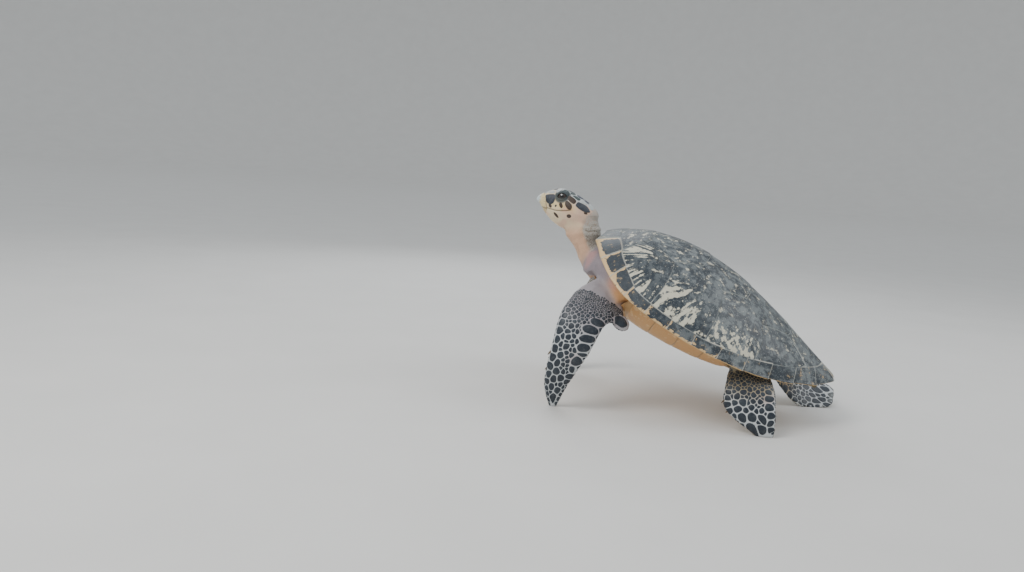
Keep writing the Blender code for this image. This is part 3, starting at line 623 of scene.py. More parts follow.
def nape(place):
    """0 on the throat and 1 on the pebbled rear of the neck."""
    back = place.y - MIDDLE_SHIFT.y - neck_spine(place.z)
    return ease(back + 0.006 * noise.noise(place * 45), 0.003, 0.011)


def neck_folds(place, strength):
    """Soft rings of loose skin round a lifted neck, deeper at the nape."""
    wander = 0.010 * noise.noise(place * 38)
    ring = math.sin((place.z + wander) * 2 * math.pi / FOLD_GAP)
    creased = -abs(ring) ** 0.6 if ring < 0 else ring * 0.4
    return FOLD_DEPTH * creased * strength * (0.25 + 0.75 * nape(place))


for vert in skin.verts:
    local = FROM_HEAD @ vert.co
    if local.y < SHAPED_HEAD_END and local.z > SHAPED_HEAD_LOW:
        vert.co += vert.normal * face_relief(local)
weights_of = [belonging(vert.co) for vert in skin.verts]
for vert, weights in zip(skin.verts, weights_of):
    loose = weights.get("neck", 0.0)
    if loose > 0.05:
        vert.co += vert.normal * neck_folds(vert.co, loose)
skin.normal_update()
SURFACE = BVHTree.FromBMesh(skin)
skin_points = [(vert.co.copy(), vert.normal.copy(), weights) for vert, weights in zip(skin.verts, weights_of)]
print("face and neck shaped:", len(skin.verts), "vertices; the scales will lie on this surface")

# %% [markdown]
# A turtle's eye is closed by two thick lids, like the two halves of a purse. Each lid is a slice of a
# sphere a little larger than the eyeball, cut by a slanted plane that leaves an almond opening. The
# slices are given a thickness and then belong to the skin, so they take its colour and its wrinkles.

# %% Eyelids
def append(target, source):
    """Adds one bmesh's faces to another and clears it away."""
    made = {vert: target.verts.new(vert.co) for vert in source.verts}
    for face in source.faces:
        target.faces.new([made[vert] for vert in face.verts])
    source.free()


def cut(bm, point, normal, **settings):
    """Cuts all of a bmesh by a plane and returns what lies on the cut."""
    everything = bm.verts[:] + bm.edges[:] + bm.faces[:]
    made = bmesh.ops.bisect_plane(bm, geom=everything, plane_co=point, plane_no=normal, **settings)
    return made["geom_cut"]


def eye_centre(side):
    return Vector((side * EYE_PLACE.x, EYE_PLACE.y, EYE_PLACE.z))


def eye_axes(side):
    """Outward, along the slit to its rear corner, and up, in the head's frame."""
    out = Vector((side * 0.95, -0.20, 0.16)).normalized()
    rear = Vector((0.0, 0.955, 0.29))
    rear = (rear - out * rear.dot(out)).normalized()
    up = out.cross(rear) * side
    return out, rear, up * (1 if up.z > 0 else -1)


LID_GAP, LID_THICK, LID_BACK, LID_WRINKLE = 0.0004, 0.0013, -0.0030, 0.00030
CORNER_ANGLE, UPPER_ANGLE, LOWER_ANGLE = math.radians(50), math.radians(27), math.radians(-24)
for side in (1, -1):
    out, rear, up = eye_axes(side)
    for opening in (UPPER_ANGLE, LOWER_ANGLE):
        lid = bmesh.new()
        bmesh.ops.create_uvsphere(lid, u_segments=56, v_segments=32, radius=EYE_RADIUS + LID_GAP)
        slope = out * (math.cos(opening) - math.cos(CORNER_ANGLE)) + up * math.sin(opening)
        keep = rear.cross(slope).normalized()
        keep = keep if keep.dot(up) * opening > 0 else -keep
        cut(lid, out * (EYE_RADIUS * math.cos(CORNER_ANGLE)), keep, dist=1e-6, clear_inner=True)
        cut(lid, out * LID_BACK, out, dist=1e-6, clear_inner=True)
        bmesh.ops.recalc_face_normals(lid, faces=lid.faces)
        if sum(face.normal.dot(face.calc_center_median()) for face in lid.faces) < 0:
            bmesh.ops.reverse_faces(lid, faces=lid.faces)
        bmesh.ops.solidify(lid, geom=lid.faces, thickness=-LID_THICK)
        bmesh.ops.recalc_face_normals(lid, faces=lid.faces)
        for vert in lid.verts:
            fold = vert.co.dot(up) / EYE_RADIUS
            if vert.co.length > EYE_RADIUS + LID_GAP + 0.5 * LID_THICK:
                vert.co += vert.co.normalized() * LID_WRINKLE * math.sin(fold * 26)
        bmesh.ops.transform(lid, matrix=HEAD @ Matrix.Translation(eye_centre(side)), verts=lid.verts)
        append(skin, lid)
skin.normal_update()
weights_of = [belonging(vert.co) for vert in skin.verts]
print("lids added")

# %% [markdown]
# The skin's colours change from part to part: cream cheeks, a grey neck with a flesh-coloured throat,
# an orange fold in the armpit, and whitish grey between the scales of the limbs. Each point gets a
# mix of these tones by the part it belongs to, and by smooth steps in the head's and shell's frames.
# The shader then only adds what is finer than the mesh.

# %% Tones of the skin
CREAM, CHEEK, WHITISH = tone(232, 214, 180), tone(222, 190, 166), tone(186, 190, 190)
NAPE, THROAT, MAUVE = tone(140, 138, 132), tone(216, 176, 146), tone(148, 138, 144)
ARMPIT, SEAM_PALE, UNDER = tone(212, 158, 104), tone(204, 208, 210), tone(212, 200, 172)
# the third tone here is painted shade: a near-black line laid along the mouth crease
HIP, OLIVE, MOUTH_SHADE = tone(130, 120, 98), tone(146, 122, 66), tone(48, 40, 38)
PINK, STRAW = tone(214, 150, 140), tone(232, 208, 138)
# where a flipper is a little grazed, along and across it
FRONT_GRAZE, REAR_GRAZE = (0.62, 0.66), (0.36, 0.84)


def blend(first, second, share):
    return tuple(lerp(a, b, share) for a, b in zip(first, second))


def head_tone(place):
    """Tone of the bare skin at a place of the head's frame, with painted shade along the mouth crease."""
    colour = blend(CREAM, CHEEK, ease(place.y, 0.035, 0.075))
    colour = blend(colour, CREAM, 0.7 * ease(place.z, -0.016, -0.026))
    colour = blend(colour, WHITISH, ease(place.z, 0.006, 0.020) * ease(place.y, 0.02, 0.05))
    colour = blend(colour, NAPE, 0.6 * ease(place.y, 0.100, 0.122) * ease(place.z, -0.020, 0.0))
    cheek = hump(place.z - 0.001, 0.008) * ease(abs(place.y - 0.050), 0.036, 0.020)
    colour = blend(colour, STRAW, 0.6 * cheek)
    blush = noise.noise(place * 70 + Vector((3, 1, 7)))
    colour = blend(colour, PINK, 0.35 * ease(blush, 0.0, 0.5) * ease(place.z, 0.012, 0.0))
    eye = Vector((abs(place.x), place.y, place.z)) - EYE_PLACE
    lid = blend(tone(72, 82, 82), tone(44, 58, 62), ease(eye.z, -0.006, 0.004))
    colour = blend(colour, lid, 0.94 * ease(eye.length, 0.0172, 0.0146) * ease(eye.x, -0.005, 0.001))
    # painted shade: the mouth crease is darkened almost to black along its length
    mouth = place.z - mouth_height(place.y)
    back = ease(place.y, 0.076, 0.068)
    return blend(colour, MOUTH_SHADE, 0.75 * hump(mouth, 0.0010) * back)


def neck_tone(place):
    rear = nape(place)
    colour = blend(THROAT, CREAM, 0.5 * ease(place.z, 0.30, 0.33))
    colour = blend(colour, NAPE, 0.9 * rear)
    patch = noise.noise(place * 55 + Vector((0, 9, 2)))
    low = ease(place.z, 0.305, 0.275)
    return blend(colour, tone(104, 82, 60), (0.25 + 0.5 * low) * ease(patch, 0.05, 0.35) * (0.2 + 0.8 * rear))


def trunk_tone(place):
    local = FROM_SHELL @ place
    shoulder = ease(local.y, 0.120, 0.070)
    colour = blend(HIP, ARMPIT, ease(local.y, 0.32, 0.24))
    colour = blend(colour, MAUVE, shoulder * ease(abs(local.x), 0.128, 0.105))
    flush = noise.noise(place * 30 + Vector((5, 5, 5)))
    colour = blend(colour, PINK, 0.4 * ease(flush, 0.05, 0.5) * shoulder)
    return blend(colour, OLIVE, 0.5 * ease(flush, -0.1, -0.5) * ease(local.y, 0.25, 0.32))


def limb_tone(node, place, normal):
    blade = BLADES[node]
    front = "front" in node
    outer = ease(normal.dot(blade.section(0.5)[3].normalized()), -0.35, 0.15)
    root = (place - (blade.stations[1][0] + blade.stations[1][1]) / 2).length / blade.length
    colour = blend(UNDER, SEAM_PALE, outer)
    near_root = ease(root, 0.38, 0.18) if front else ease(root, 0.50, 0.28)
    graze = blade.spot(*(FRONT_GRAZE if front else REAR_GRAZE), 1)
    colour = blend(colour, PINK, (0.4 if front else 0.8) * outer * hump((place - graze).length, 0.013))
    return blend(colour, MAUVE if front else OLIVE, 0.8 * near_root)


def skin_tone(place, normal, weights):
    total = Vector((0, 0, 0))
    for node, weight in weights.items():
        if node == "head":
            colour = head_tone(FROM_HEAD @ place)
        elif node == "neck":
            colour = neck_tone(place)
        elif node in ("trunk", "tail"):
            colour = trunk_tone(place)
        else:
            colour = limb_tone(node, place, normal)
        total += Vector(colour) * weight
    return total


PEBBLED = {"head": 0.10, "neck": 0.22, "trunk": 0.28, "tail": 0.6}
PEBBLED_LIMB = 0.15
tone_layer = skin.verts.layers.float_color.new("tone")
grain_layer = skin.verts.layers.float.new("grain")
for vert, weights in zip(skin.verts, weights_of):
    vert[tone_layer] = (*skin_tone(vert.co, vert.normal, weights), 1.0)
    vert[grain_layer] = sum(PEBBLED.get(node, PEBBLED_LIMB) * weight for node, weight in weights.items())
print("skin toned")

# %% [markdown]
# Real reptile skin is never smooth: it is crossed by fine lines into pebbles about two millimetres
# wide, and the lines are painted darker as painted shade in their grooves. Voronoi cells give the
# pebbles and two sizes of noise give stains and pores. `grain` says how pebbled each part is.

# %% Skin material
hide = Paint("turtle_skin")
spot = hide.here()
pebbles = hide.cells(spot, 430.0)
lines = hide.rise(pebbles, 0.0, 0.16)
creases = hide.rise(hide.cells(hide.stretched(spot, (1.0, 1.0, 2.2)), 120.0), 0.0, 0.10)
stain = hide.noise(spot, 60.0, 5.0)
pores = hide.noise(spot, 1500.0, 2.0)
grain = hide.attribute("grain")
own = hide.attribute("tone", "Color")
# the pebble lines are darkened as painted shade in their grooves; the stain noise is real staining
darker = hide.mix(0.62, own, tone(70, 64, 62), "MULTIPLY")
shaded_lines_and_stains = hide.mix((1.0 - lines) * grain * 0.65 + hide.rise(stain, 0.52, 0.75) * 0.22, own, darker)
relief = (lines * 0.7 + creases * 0.5) * grain + pores * 0.18 + stain * 0.3
skin_material = hide.surface(
    Base_Color=shaded_lines_and_stains, Roughness=0.5 + hide.rise(stain, 0.3, 0.7) * 0.2,
    Normal=hide.bump(relief, 0.0009, 0.8), Specular_IOR_Level=0.42)

print("skin material ready")

# %% [markdown]
# Most of the skin over the trunk is hidden under the shell plates and costs triangles for nothing, so
# it is thinned there. The shell plates of the solids say where: a point within a few millimetres of
# one of them can't be seen. A second, gentler pass thins the rest except the face, where the shape is
# finest. Collapsing edges keeps flat parts flat, so this doesn't show.

# %% Thin the skin
PLATES = [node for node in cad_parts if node.startswith(("vertebral", "costal", "plastron", "nuchal"))]
SKIN_FACES, KEPT_HIDDEN = 180000, 0.05
UNDER_PLATE, OPEN_FRONT, FACE_END, FACE_LOW = 0.0085, 0.03, 0.098, -0.055
cover = merged(*PLATES)
under = BVHTree.FromBMesh(cover)
cover.free()


def hidden(vert):
    return under.find_nearest(vert.co, UNDER_PLATE)[0] is not None and (FROM_SHELL @ vert.co).y > OPEN_FRONT


def coarse(vert):
    local = FROM_HEAD @ vert.co
    return local.y > FACE_END or local.z < FACE_LOW


bmesh.ops.triangulate(skin, faces=skin.faces)
shaded = sum(hidden(vert) for vert in skin.verts) / len(skin.verts)
print("skin: %d faces, %.0f %% of it hidden" % (len(skin.faces), 100 * shaded))
skin = through(skin, "DECIMATE", group=hidden, ratio=1.0 - (1.0 - KEPT_HIDDEN) * shaded)
if len(skin.faces) > SKIN_FACES:
    skin = through(skin, "DECIMATE", group=coarse, ratio=SKIN_FACES / len(skin.faces))
finish("skin", skin, skin_material, FLESH)

# %% [markdown]
# A hawksbill's shell is covered by horn plates that overlap like roof tiles: one behind the neck, five
# down the middle and four on each side. Each begins as a grid over the unit square. A function lays the
# square over its place on the shell, and pulling the points towards the borders keeps the rounded edge
# fine. The grid is the underside. Extruding it gives the top, whose height falls at every border.

# %% Plates of the carapace
SEAM = 0.0003
PLATE_THICK, PLATE_RISE, PLATE_LAP = 0.0030, 0.0016, 0.0026


def shrink(u, length):
    """Pulls 0..1 in by half a seam at both ends of a run of this length."""
    return 0.5 * SEAM / length + u * (1 - SEAM / length)


def toward_borders(u):
    return lerp(u, 0.5 - 0.5 * math.cos(math.pi * clamp(u)), 0.6)


def rounded(distance, radius):
    """Height of a rounded border, 0 at the very edge and 1 from the radius inwards."""
    return math.sqrt(max(0.0, 1.0 - (1.0 - clamp(distance / radius)) ** 2))


def plate(bm, place, counts, height, marks, lap=0.0, thick=(PLATE_THICK, PLATE_THICK + PLATE_RISE),
          outward=1, radius=0.0024, ends=(0.0, 0.0), run=1.0):
    """Adds one plate to a bmesh. place(u, v) is its spot in plan, height(x, y) the surface below, marks(u, v)
    how pale and how filmed it is and its seed. ends are the v of the corners where it grew from, run the
    length of its flames."""
    ray_layer = bm.verts.layers.float_vector.get("ray") or bm.verts.layers.float_vector.new("ray")
    mark_layer = bm.verts.layers.float_vector.get("marks") or bm.verts.layers.float_vector.new("marks")
    made = bmesh.ops.create_grid(bm, x_segments=counts[0], y_segments=counts[1], size=0.5)["verts"]
    corner = Vector(place(1.0, 0.5 if ends == (0.0, 0.0) else ends[0]))
    long = (Vector(place(1.0, 0.5)) - Vector(place(0.0, 0.5))).length
    wide = (Vector(place(0.5, 1.0)) - Vector(place(0.5, 0.0))).length
    where = {}
    for vert in made:
        u, v = toward_borders(vert.co.x + 0.5), toward_borders(vert.co.y + 0.5)
        x, y = place(u * (1.0 + lap / long), v)
        wave = 0.0005 * noise.noise(Vector((x * 60, y * 60, 3)))
        vert.co = Vector((x, y + wave, height(x, y)))
        edge = min(u * long, (1 - u) * long, v * wide, (1 - v) * wide)
        away = Vector((x, y)) - corner
        pale, filmed, seed = marks(u, v)
        vert[ray_layer] = (math.atan2(away.y, abs(away.x) + 1e-5) * 2.2, away.length / (0.045 * run), seed)
        vert[mark_layer] = (edge, pale, filmed)
        where[vert] = (edge, u)
    faces = list({face for vert in made for face in vert.link_faces})
    lifted = bmesh.ops.extrude_face_region(bm, geom=faces, use_keep_orig=True)["geom"]
    order = {tuple(vert.co): where[vert] for vert in made}
    for vert in [item for item in lifted if isinstance(item, bmesh.types.BMVert)]:
        edge, u = order[tuple(vert.co)]
        full = lerp(thick[0], thick[1], u)
        swell = 0.00035 * noise.noise(vert.co * 45) * rounded(edge, 0.01)
        vert.co.z += outward * (full * (0.40 + 0.60 * rounded(edge, radius)) + swell)


# the seams between vertebrals and the corner of each, as distance along the shell and half-width
SEAMS = ((0.0295, 0.0), (0.0850, 0.053), (0.192, 0.058), (0.287, 0.056), (0.385, 0.036), (0.464, 0.0))
CORNERS = ((0.057, 0.094), (0.142, 0.088), (0.238, 0.087), (0.329, 0.081), (0.432, 0.066))
# each costal: three corners of its inner border, each as half-width and distance along the shell, and
# the stretch of rim it reaches
COSTALS = (
    ((0.094, 0.0560), (0.053, 0.0810), (0.088, 0.142), 0.033, 0.142),
    ((0.088, 0.142), (0.058, 0.188), (0.087, 0.238), 0.142, 0.252),
    ((0.087, 0.238), (0.056, 0.283), (0.081, 0.329), 0.252, 0.345),
    ((0.081, 0.329), (0.036, 0.381), (0.0625, 0.4330), 0.345, 0.434),
)


def rim_line(x):
    """Where the inner edge of the rim lies behind the last vertebral, x from the keel."""
    low, high = 0.40, SHELL_LENGTH
    for step in range(24):
        middle = 0.5 * (low + high)
        low, high = (middle, high) if rim_inner_x(middle) > x else (low, middle)
    return rim_inner_y(low)


def nuchal(u, v):
    u, v = shrink(u, 0.034), 2 * shrink(v, 0.09) - 1
    return v * lerp(0.040, 0.047, u), lerp(0.002 - 0.002 * v * v, 0.0295 + 0.0062 * v * v, u)


def vertebral(number):
    (start, front), (end, rear), (corner, widest) = SEAMS[number - 1], SEAMS[number], CORNERS[number - 1]
    middle = (corner - start + 0.004) / (end - start)

    def place(u, v):
        u, v = shrink(u, end - start), 2 * shrink(v, 0.14) - 1
        if number == 1:
            wide = lerp(0.094, 0.053, u)
        elif number == 5:
            wide = lerp(0.036, 0.0620, u)
        elif u < middle:
            wide = lerp(front, widest, u / middle)
        else:
            wide = lerp(widest, rear, (u - middle) / (1 - middle))
        back = rim_line(abs(v) * wide) if number == 5 else end - 0.004 * v * v
        return v * (wide + 0.0006), lerp(start + (0.026 if number == 1 else -0.004) * v * v, back, u)
    return place


def costal(number, side):
    front, middle, rear, reach_front, reach_rear = COSTALS[number - 1]
    knee = 0.34 if number == 1 else 0.5

    def place(u, v):
        u, v = shrink(u, rear[1] - front[1]), shrink(v, 0.09)
        a, b, share = (front, middle, u / knee) if u < knee else (middle, rear, (u - knee) / (1 - knee))
        inner = Vector(a).lerp(Vector(b), share)
        along = lerp(reach_front, reach_rear, u)
        outer = Vector((rim_inner_x(along) + 0.0010, rim_inner_y(along)))
        spot = inner.lerp(outer, v)
        bow = 0.006 * math.sin(math.pi * clamp(v)) * (u if number == 1 else 1 - u if number == 4 else 1)
        return side * spot.x, spot.y + bow
    return place


print("plates defined")

# %% [markdown]
# Tortoiseshell is dark horn with amber and cream flames that spread from the corner where the plate
# began to grow, and rings that follow its border. So every point carries its angle and distance from
# that corner, its distance from the border, and how pale and how filmed with fine silt the plate is
# there. The shader turns these into flames, rings, seams and film.

# %% Material of the shell
def horn_shell(name, dark, warm, cream, film, seam=tone(176, 181, 178)):
    shell = Paint(name)
    spot = shell.here()
    ray = shell.attribute("ray", "Vector")
    edge, pale, silt = shell.parts(shell.attribute("marks", "Vector"))
    flames = shell.noise(shell.stretched(ray, (1.9, 0.40, 7.0)), 2.6, 3.0, 0.55)
    flecks = shell.noise(spot, 75.0, 4.0, 0.62)
    small = shell.noise(spot, 210.0, 3.0, 0.6)
    broad = shell.noise(spot, 24.0, 3.0, 0.5)
    rays = shell.rise(pale, 0.2, 1.0) * 0.56
    mixed = flames * (rays + 0.10) + flecks * (0.72 - rays) + small * 0.18
    flame = shell.rise(mixed + pale * 0.085, 0.586, 0.630)
    ember = shell.rise(mixed + pale * 0.03, 0.50, 0.60)
    base = shell.mix(ember * 0.5, dark, warm)
    mottle = shell.noise(spot, 88.0, 5.0, 0.66)
    dusty = shell.rise(mottle * 0.8 + broad * 0.2, 0.46, 0.57)
    haze = silt * (dusty * 0.72 + shell.rise(broad, 0.4, 0.6) * 0.24)
    base = shell.mix(haze, base, film)
    base = shell.mix(flame * shell.rise(pale, -0.3, 0.4), base, cream)
    specks = shell.rise(shell.noise(spot, 420.0, 2.0), 0.62, 0.68) * (silt * 0.6 + 0.1)
    base = shell.mix(specks, base, tone(166, 170, 166))
    line = 1.0 - shell.rise(edge + small * 0.0012, 0.0012, 0.0028)
    base = shell.mix(line * 0.76, base, seam)
    rings = (edge * 1900.0 + broad * 5.0).math("SINE")
    fine = shell.noise(shell.stretched(ray, (9.0, 0.5, 5.0)), 5.0, 2.0)
    height = rings * 0.22 * (1.0 - shell.rise(edge, 0.012, 0.030)) + fine * 0.30 + flecks * 0.6 + small * 0.3
    return shell.surface(
        Base_Color=base, Roughness=0.38 + haze * 0.28 + flecks * 0.14, Coat_Weight=0.10,
        Normal=shell.bump(height, 0.0008, 0.8))


NIGHT, BROWN, SILT = tone(34, 45, 55), tone(70, 66, 60), tone(120, 127, 129)
carapace_material = horn_shell("carapace_horn", NIGHT, BROWN, tone(208, 204, 184), SILT)
rim_material = horn_shell("rim_horn", NIGHT, BROWN, tone(218, 184, 132), SILT, tone(200, 198, 186))


# how filmed the four costals are, and how pale and filmed the nuchal and the vertebrals are
COSTAL_FILM, COSTAL_RUN = (0.55, 0.85, 1.0, 0.9), (1.0, 0.45, 0.16, 0.25)
MIDDLE_PALE, MIDDLE_FILM = (0.10, 0.45, 0.30, 0.22, 0.16, 0.15), (0.7, 0.9, 1.0, 1.0, 0.9, 0.9)


def costal_marks(number, seed):
    """Combs of cream on the first plate, blotches on the next two, fewest on the last."""
    def marks(u, v):
        pale = (max(0.95 * ease(u, 0.70, 0.35), 0.85 * ease(v, 0.55, 0.85)) + 0.2,
                0.90 * ease(v, 0.30, 0.66) * ease(u, 1.05, 0.45) + 0.25,
                ease(v, 0.45, 0.80) + 0.15,
                0.2)[number - 1]
        washed = 1.0 - 0.45 * ease(v, 0.45, 0.85) * (number < 3)
        return pale, COSTAL_FILM[number - 1] * washed, seed
    return marks


def middle_marks(number, seed):
    return lambda u, v: (MIDDLE_PALE[number], MIDDLE_FILM[number], seed)


def shell_piece(name, place, marks, counts, ends, lap=PLATE_LAP, run=1.0):
    bm = bmesh.new()
    plate(bm, place, counts, dome, marks, lap, ends=ends, run=run)
    bmesh.ops.recalc_face_normals(bm, faces=bm.faces)
    bmesh.ops.transform(bm, matrix=SHELL, verts=bm.verts)
    finish(name, bm, carapace_material, [name])


shell_piece("nuchal", nuchal, middle_marks(0, 0.4), (16, 34), (0.5, 0.0))
for number in range(1, 6):
    shell_piece("vertebral_%d" % number, vertebral(number), middle_marks(number, 0.13 * number), (34, 34),
                (0.5, 0.0), 0.0 if number == 5 else PLATE_LAP)
for side, word in ((1, "left"), (-1, "right")):
    for number in range(1, 5):
        shell_piece("costal_%s_%d" % (word, number), costal(number, side),
                    costal_marks(number, 0.21 * number + 0.5 * side), (34, 32), (0.0, 0.0001),
                    0.0 if number == 4 else PLATE_LAP, COSTAL_RUN[number - 1])

# %% [markdown]
# Twelve smaller plates on each side form the rim, and the rear ones end in points like the teeth of a
# saw. Each is a grid again, this time wrapped into a flattened tube: over the top, round the sharp
# outer edge and back below. The two open ends are filled.

# %% Plates of the rim
MARGINALS = (0.0, 0.030, 0.062, 0.100, 0.145, 0.190, 0.238, 0.286, 0.334, 0.380, 0.424, 0.464, 0.500)
spike_at = profile(((0.0, 0.0), (0.2, 0.0014), (0.3, 0.0026), (0.4, 0.0048), (0.5, 0.0070)))
# the share of a plate's grid that lies above the rim, and the same below it; the rest is the inner wall
RIM_FACE = 0.46


def rim_spot(station, spike, r, turn):
    """A place on the rim's section: r from the inner line to the tip, turn 1 above and -1 below."""
    inner = Vector((rim_inner_x(station), rim_inner_y(station)))
    tip = Vector((half_width(station), station))
    if station < 0.03:
        tip = Vector((lerp(0.0435, half_width(0.03), (max(station, 0) / 0.03) ** 0.8), station - 0.001))
    out = (tip - inner).normalized()
    spot = (inner - out * 0.0015).lerp(tip + out * spike, r)
    deep, share = rim_deep(station), r ** 1.2
    thick = lerp(deep, 0.0034, share) * rounded((1.0 - r) * 0.030, 0.0030)
    level = dome(spot.x, spot.y) + PLATE_THICK * (1 - 0.35 * r) - 0.5 * lerp(deep, 0.0030, share)
    return Vector((max(spot.x, 0.0), spot.y, level + turn * 0.5 * thick))


def rim_plate(bm, number, side):
    """Adds one marginal, with its point at the rear corner of its outer edge."""
    start, end = MARGINALS[number], MARGINALS[number + 1]
    last = number == len(MARGINALS) - 2
    ray_layer, mark_layer = bm.verts.layers.float_vector["ray"], bm.verts.layers.float_vector["marks"]
    made = bmesh.ops.create_grid(bm, x_segments=20, y_segments=40, size=0.5)["verts"]
    for vert in made:
        u, v = toward_borders(vert.co.x + 0.5), vert.co.y + 0.5
        if v <= RIM_FACE:
            r, turn = 1.0 - (1.0 - v / RIM_FACE) ** 1.5, 1.0
        elif v <= 2 * RIM_FACE:
            r, turn = 1.0 - ((v - RIM_FACE) / RIM_FACE) ** 1.5, -1.0
        else:
            r, turn = 0.0, -1.0 + 2.0 * (v - 2 * RIM_FACE) / (1.0 - 2 * RIM_FACE)
        station = lerp(start, end + (0.0 if last else 0.0018), u)
        spike = spike_at(end) * (0.0 if last else max(0.0, (u - 0.2) / 0.8) ** 1.3)
        long = end - start
        close = rounded(min(u, 1.0 - u) * long, 0.0014)
        spot = rim_spot(station, spike, r, 0.0).lerp(rim_spot(station, spike, r, turn), 0.45 + 0.55 * close)
        spot.z += 0.0011 * u
        vert.co = (side * spot.x, spot.y, spot.z)
        width = (half_width(station) - rim_inner_x(station)) + 0.004
        flat = Vector(((1.0 - u) * long, r * max(width, 0.02)))
        edge = min(u * long, (1.0 - u) * long, r * width if turn > 0 else 1.0)
        corner = math.hypot(max(0.0, r - 0.55) / 0.45, max(0.0, abs(u - 0.55) - 0.20) / 0.35)
        front, middle = 2.6 * ease(corner, 0.60, 0.80), 1.8 * ease(corner, 0.68, 0.92)
        pale = lerp(lerp(front, middle, ease(number, 2.0, 3.0)), 0.05, ease(number, 5.0, 7.0))
        filmed = lerp(0.1, 0.9, ease(number, 2.0, 7.0))
        vert[ray_layer] = (math.atan2(flat.y, flat.x + 1e-5) * 1.6, flat.length / 0.03, number * 0.37 + side)
        vert[mark_layer] = (edge, pale, filmed) if turn > 0 else (edge, 2.6, 0.10)
    bmesh.ops.remove_doubles(bm, verts=made, dist=1e-6)
    rims = [edge for edge in bm.edges if edge.is_boundary]
    bmesh.ops.holes_fill(bm, edges=rims, sides=0)


for side, word in ((1, "left"), (-1, "right")):
    rim_bm = bmesh.new()
    rim_bm.verts.layers.float_vector.new("ray")
    rim_bm.verts.layers.float_vector.new("marks")
    for number in range(len(MARGINALS) - 1):
        rim_plate(rim_bm, number, side)
    bmesh.ops.recalc_face_normals(rim_bm, faces=rim_bm.faces)
    bmesh.ops.transform(rim_bm, matrix=SHELL, verts=rim_bm.verts)
    finish("rim_" + word, rim_bm, rim_material, ["rim_" + word])

# %% [markdown]
# The underside is closed by the plastron: amber-yellow plates in pairs, with a row of four more on
# each side where it joins the rim. A thin slab lies behind the plates, so that the seams between them
# have a floor, and the plates are laid on it with the same helper as on the back.

# %% Plastron
BELLY_SEAMS = (0.031, 0.056, 0.094, 0.152, 0.222, 0.296, 0.352, 0.398)
BRIDGE_HALF, BRIDGE_START, BRIDGE_STEP = 0.102, 0.122, 0.048


def belly_outer(y):
    """Outer border of the large plates: the plastron's edge, or the seam to the row beside them."""
    return lerp(belly_half(y) - 0.0015, BRIDGE_HALF, ease(y, 0.106, 0.124) * ease(y, 0.322, 0.306))


def belly_plate(number, side):
    start, end = BELLY_SEAMS[number], BELLY_SEAMS[number + 1]

    def place(u, v):
        v = shrink(v, 0.08) + 0.002
        y = lerp(start, end, shrink(u, end - start))
        still = number == 0 or number == 6 and u in (0.0, 1.0)
        drift = 0.0 if still else 0.008 * math.sin(math.pi * v) * 0.3
        return side * belly_outer(y) * v, clamp(y + drift, 0.0305, 0.3995)
    return place


def bridge_plate(number, side):
    start, end = BRIDGE_START + BRIDGE_STEP * number, BRIDGE_START + BRIDGE_STEP * (number + 1)

    def place(u, v):
        y = lerp(start, end, shrink(u, BRIDGE_STEP))
        return side * lerp(belly_outer(y) + 0.0006, belly_half(y) - 0.0015, v), y
    return place


def belly_marks(seed):
    return lambda u, v: (0.35, 0.25, seed)


def belly_floor(x, y):
    return belly(x, y) + 0.0014


plastron_bm = bmesh.new()
for side in (1, -1):
    for kind, many, counts, step in ((belly_plate, 7, (16, 18), 0.3), (bridge_plate, 4, (12, 14), 0.4)):
        for number in range(many):
            plate(plastron_bm, kind(number, side), counts, belly_floor, belly_marks(step * number + side),
                  thick=(0.0015, 0.0019), outward=-1, radius=0.0018, ends=(0.0, 0.0001))
slab = bmesh.ops.create_grid(plastron_bm, x_segments=40, y_segments=32, size=0.5)["verts"]
slab_faces = list({face for vert in slab for face in vert.link_faces})
for vert in slab:
    y = lerp(0.0310, 0.3990, vert.co.x + 0.5)
    x = belly_half(y) * 2 * vert.co.y * 0.992
    vert.co = (x, y, belly(x, y) + 0.0010)
lifted = bmesh.ops.extrude_face_region(plastron_bm, geom=slab_faces, use_keep_orig=True)["geom"]
for vert in [item for item in lifted if isinstance(item, bmesh.types.BMVert)]:
    vert.co.z += 0.0024
bmesh.ops.recalc_face_normals(plastron_bm, faces=plastron_bm.faces)
bmesh.ops.transform(plastron_bm, matrix=SHELL, verts=plastron_bm.verts)
plastron_material = horn_shell("plastron_horn", tone(204, 154, 98), tone(196, 142, 86), tone(216, 178, 128),
                               tone(206, 166, 114), tone(184, 150, 108))
finish("plastron", plastron_bm, plastron_material, ["plastron"])

# %% [markdown]
# The beak is horn over the front of both jaws. The snout's own sections are run through by extruding
# one ring again and again. A slanted plane cuts the horn off where the skin begins and a level one
# opens the mouth. The upper beak is a little larger and hangs over the lower, with a small hook at its
# tip, and the cut edges are bevelled so that they catch the light.

# %% Beak
HEAD_HALF = profile(((0.0, 0.0022), (0.004, 0.0070), (0.012, 0.0125), (0.022, 0.0175), (0.034, 0.0240),
                     (0.046, 0.0295), (0.060, 0.0335)))
HEAD_TOP = profile(((0.0, 0.0028), (0.004, 0.0070), (0.012, 0.0137), (0.022, 0.0222), (0.034, 0.0290),
                    (0.046, 0.0316), (0.060, 0.0305)))
HEAD_LOW = profile(((0.0, -0.0018), (0.004, -0.0034), (0.008, -0.0062), (0.012, -0.0108), (0.018, -0.0180),
                    (0.026, -0.0250), (0.036, -0.0320), (0.048, -0.0375), (0.060, -0.0412)))
WIDEST = profile(((0.0, 0.0), (0.02, -0.002), (0.05, 0.000)))
RING = 48
NOSTRIL = (0.0040, 0.0066, 0.0085)
UPPER_EDGE = (Vector((0, 0.0105, 0.015)), Vector((0, 0.0255, MOUTH)))
LOWER_EDGE = (Vector((0, 0.0250, MOUTH)), Vector((0, 0.0215, -0.030)))


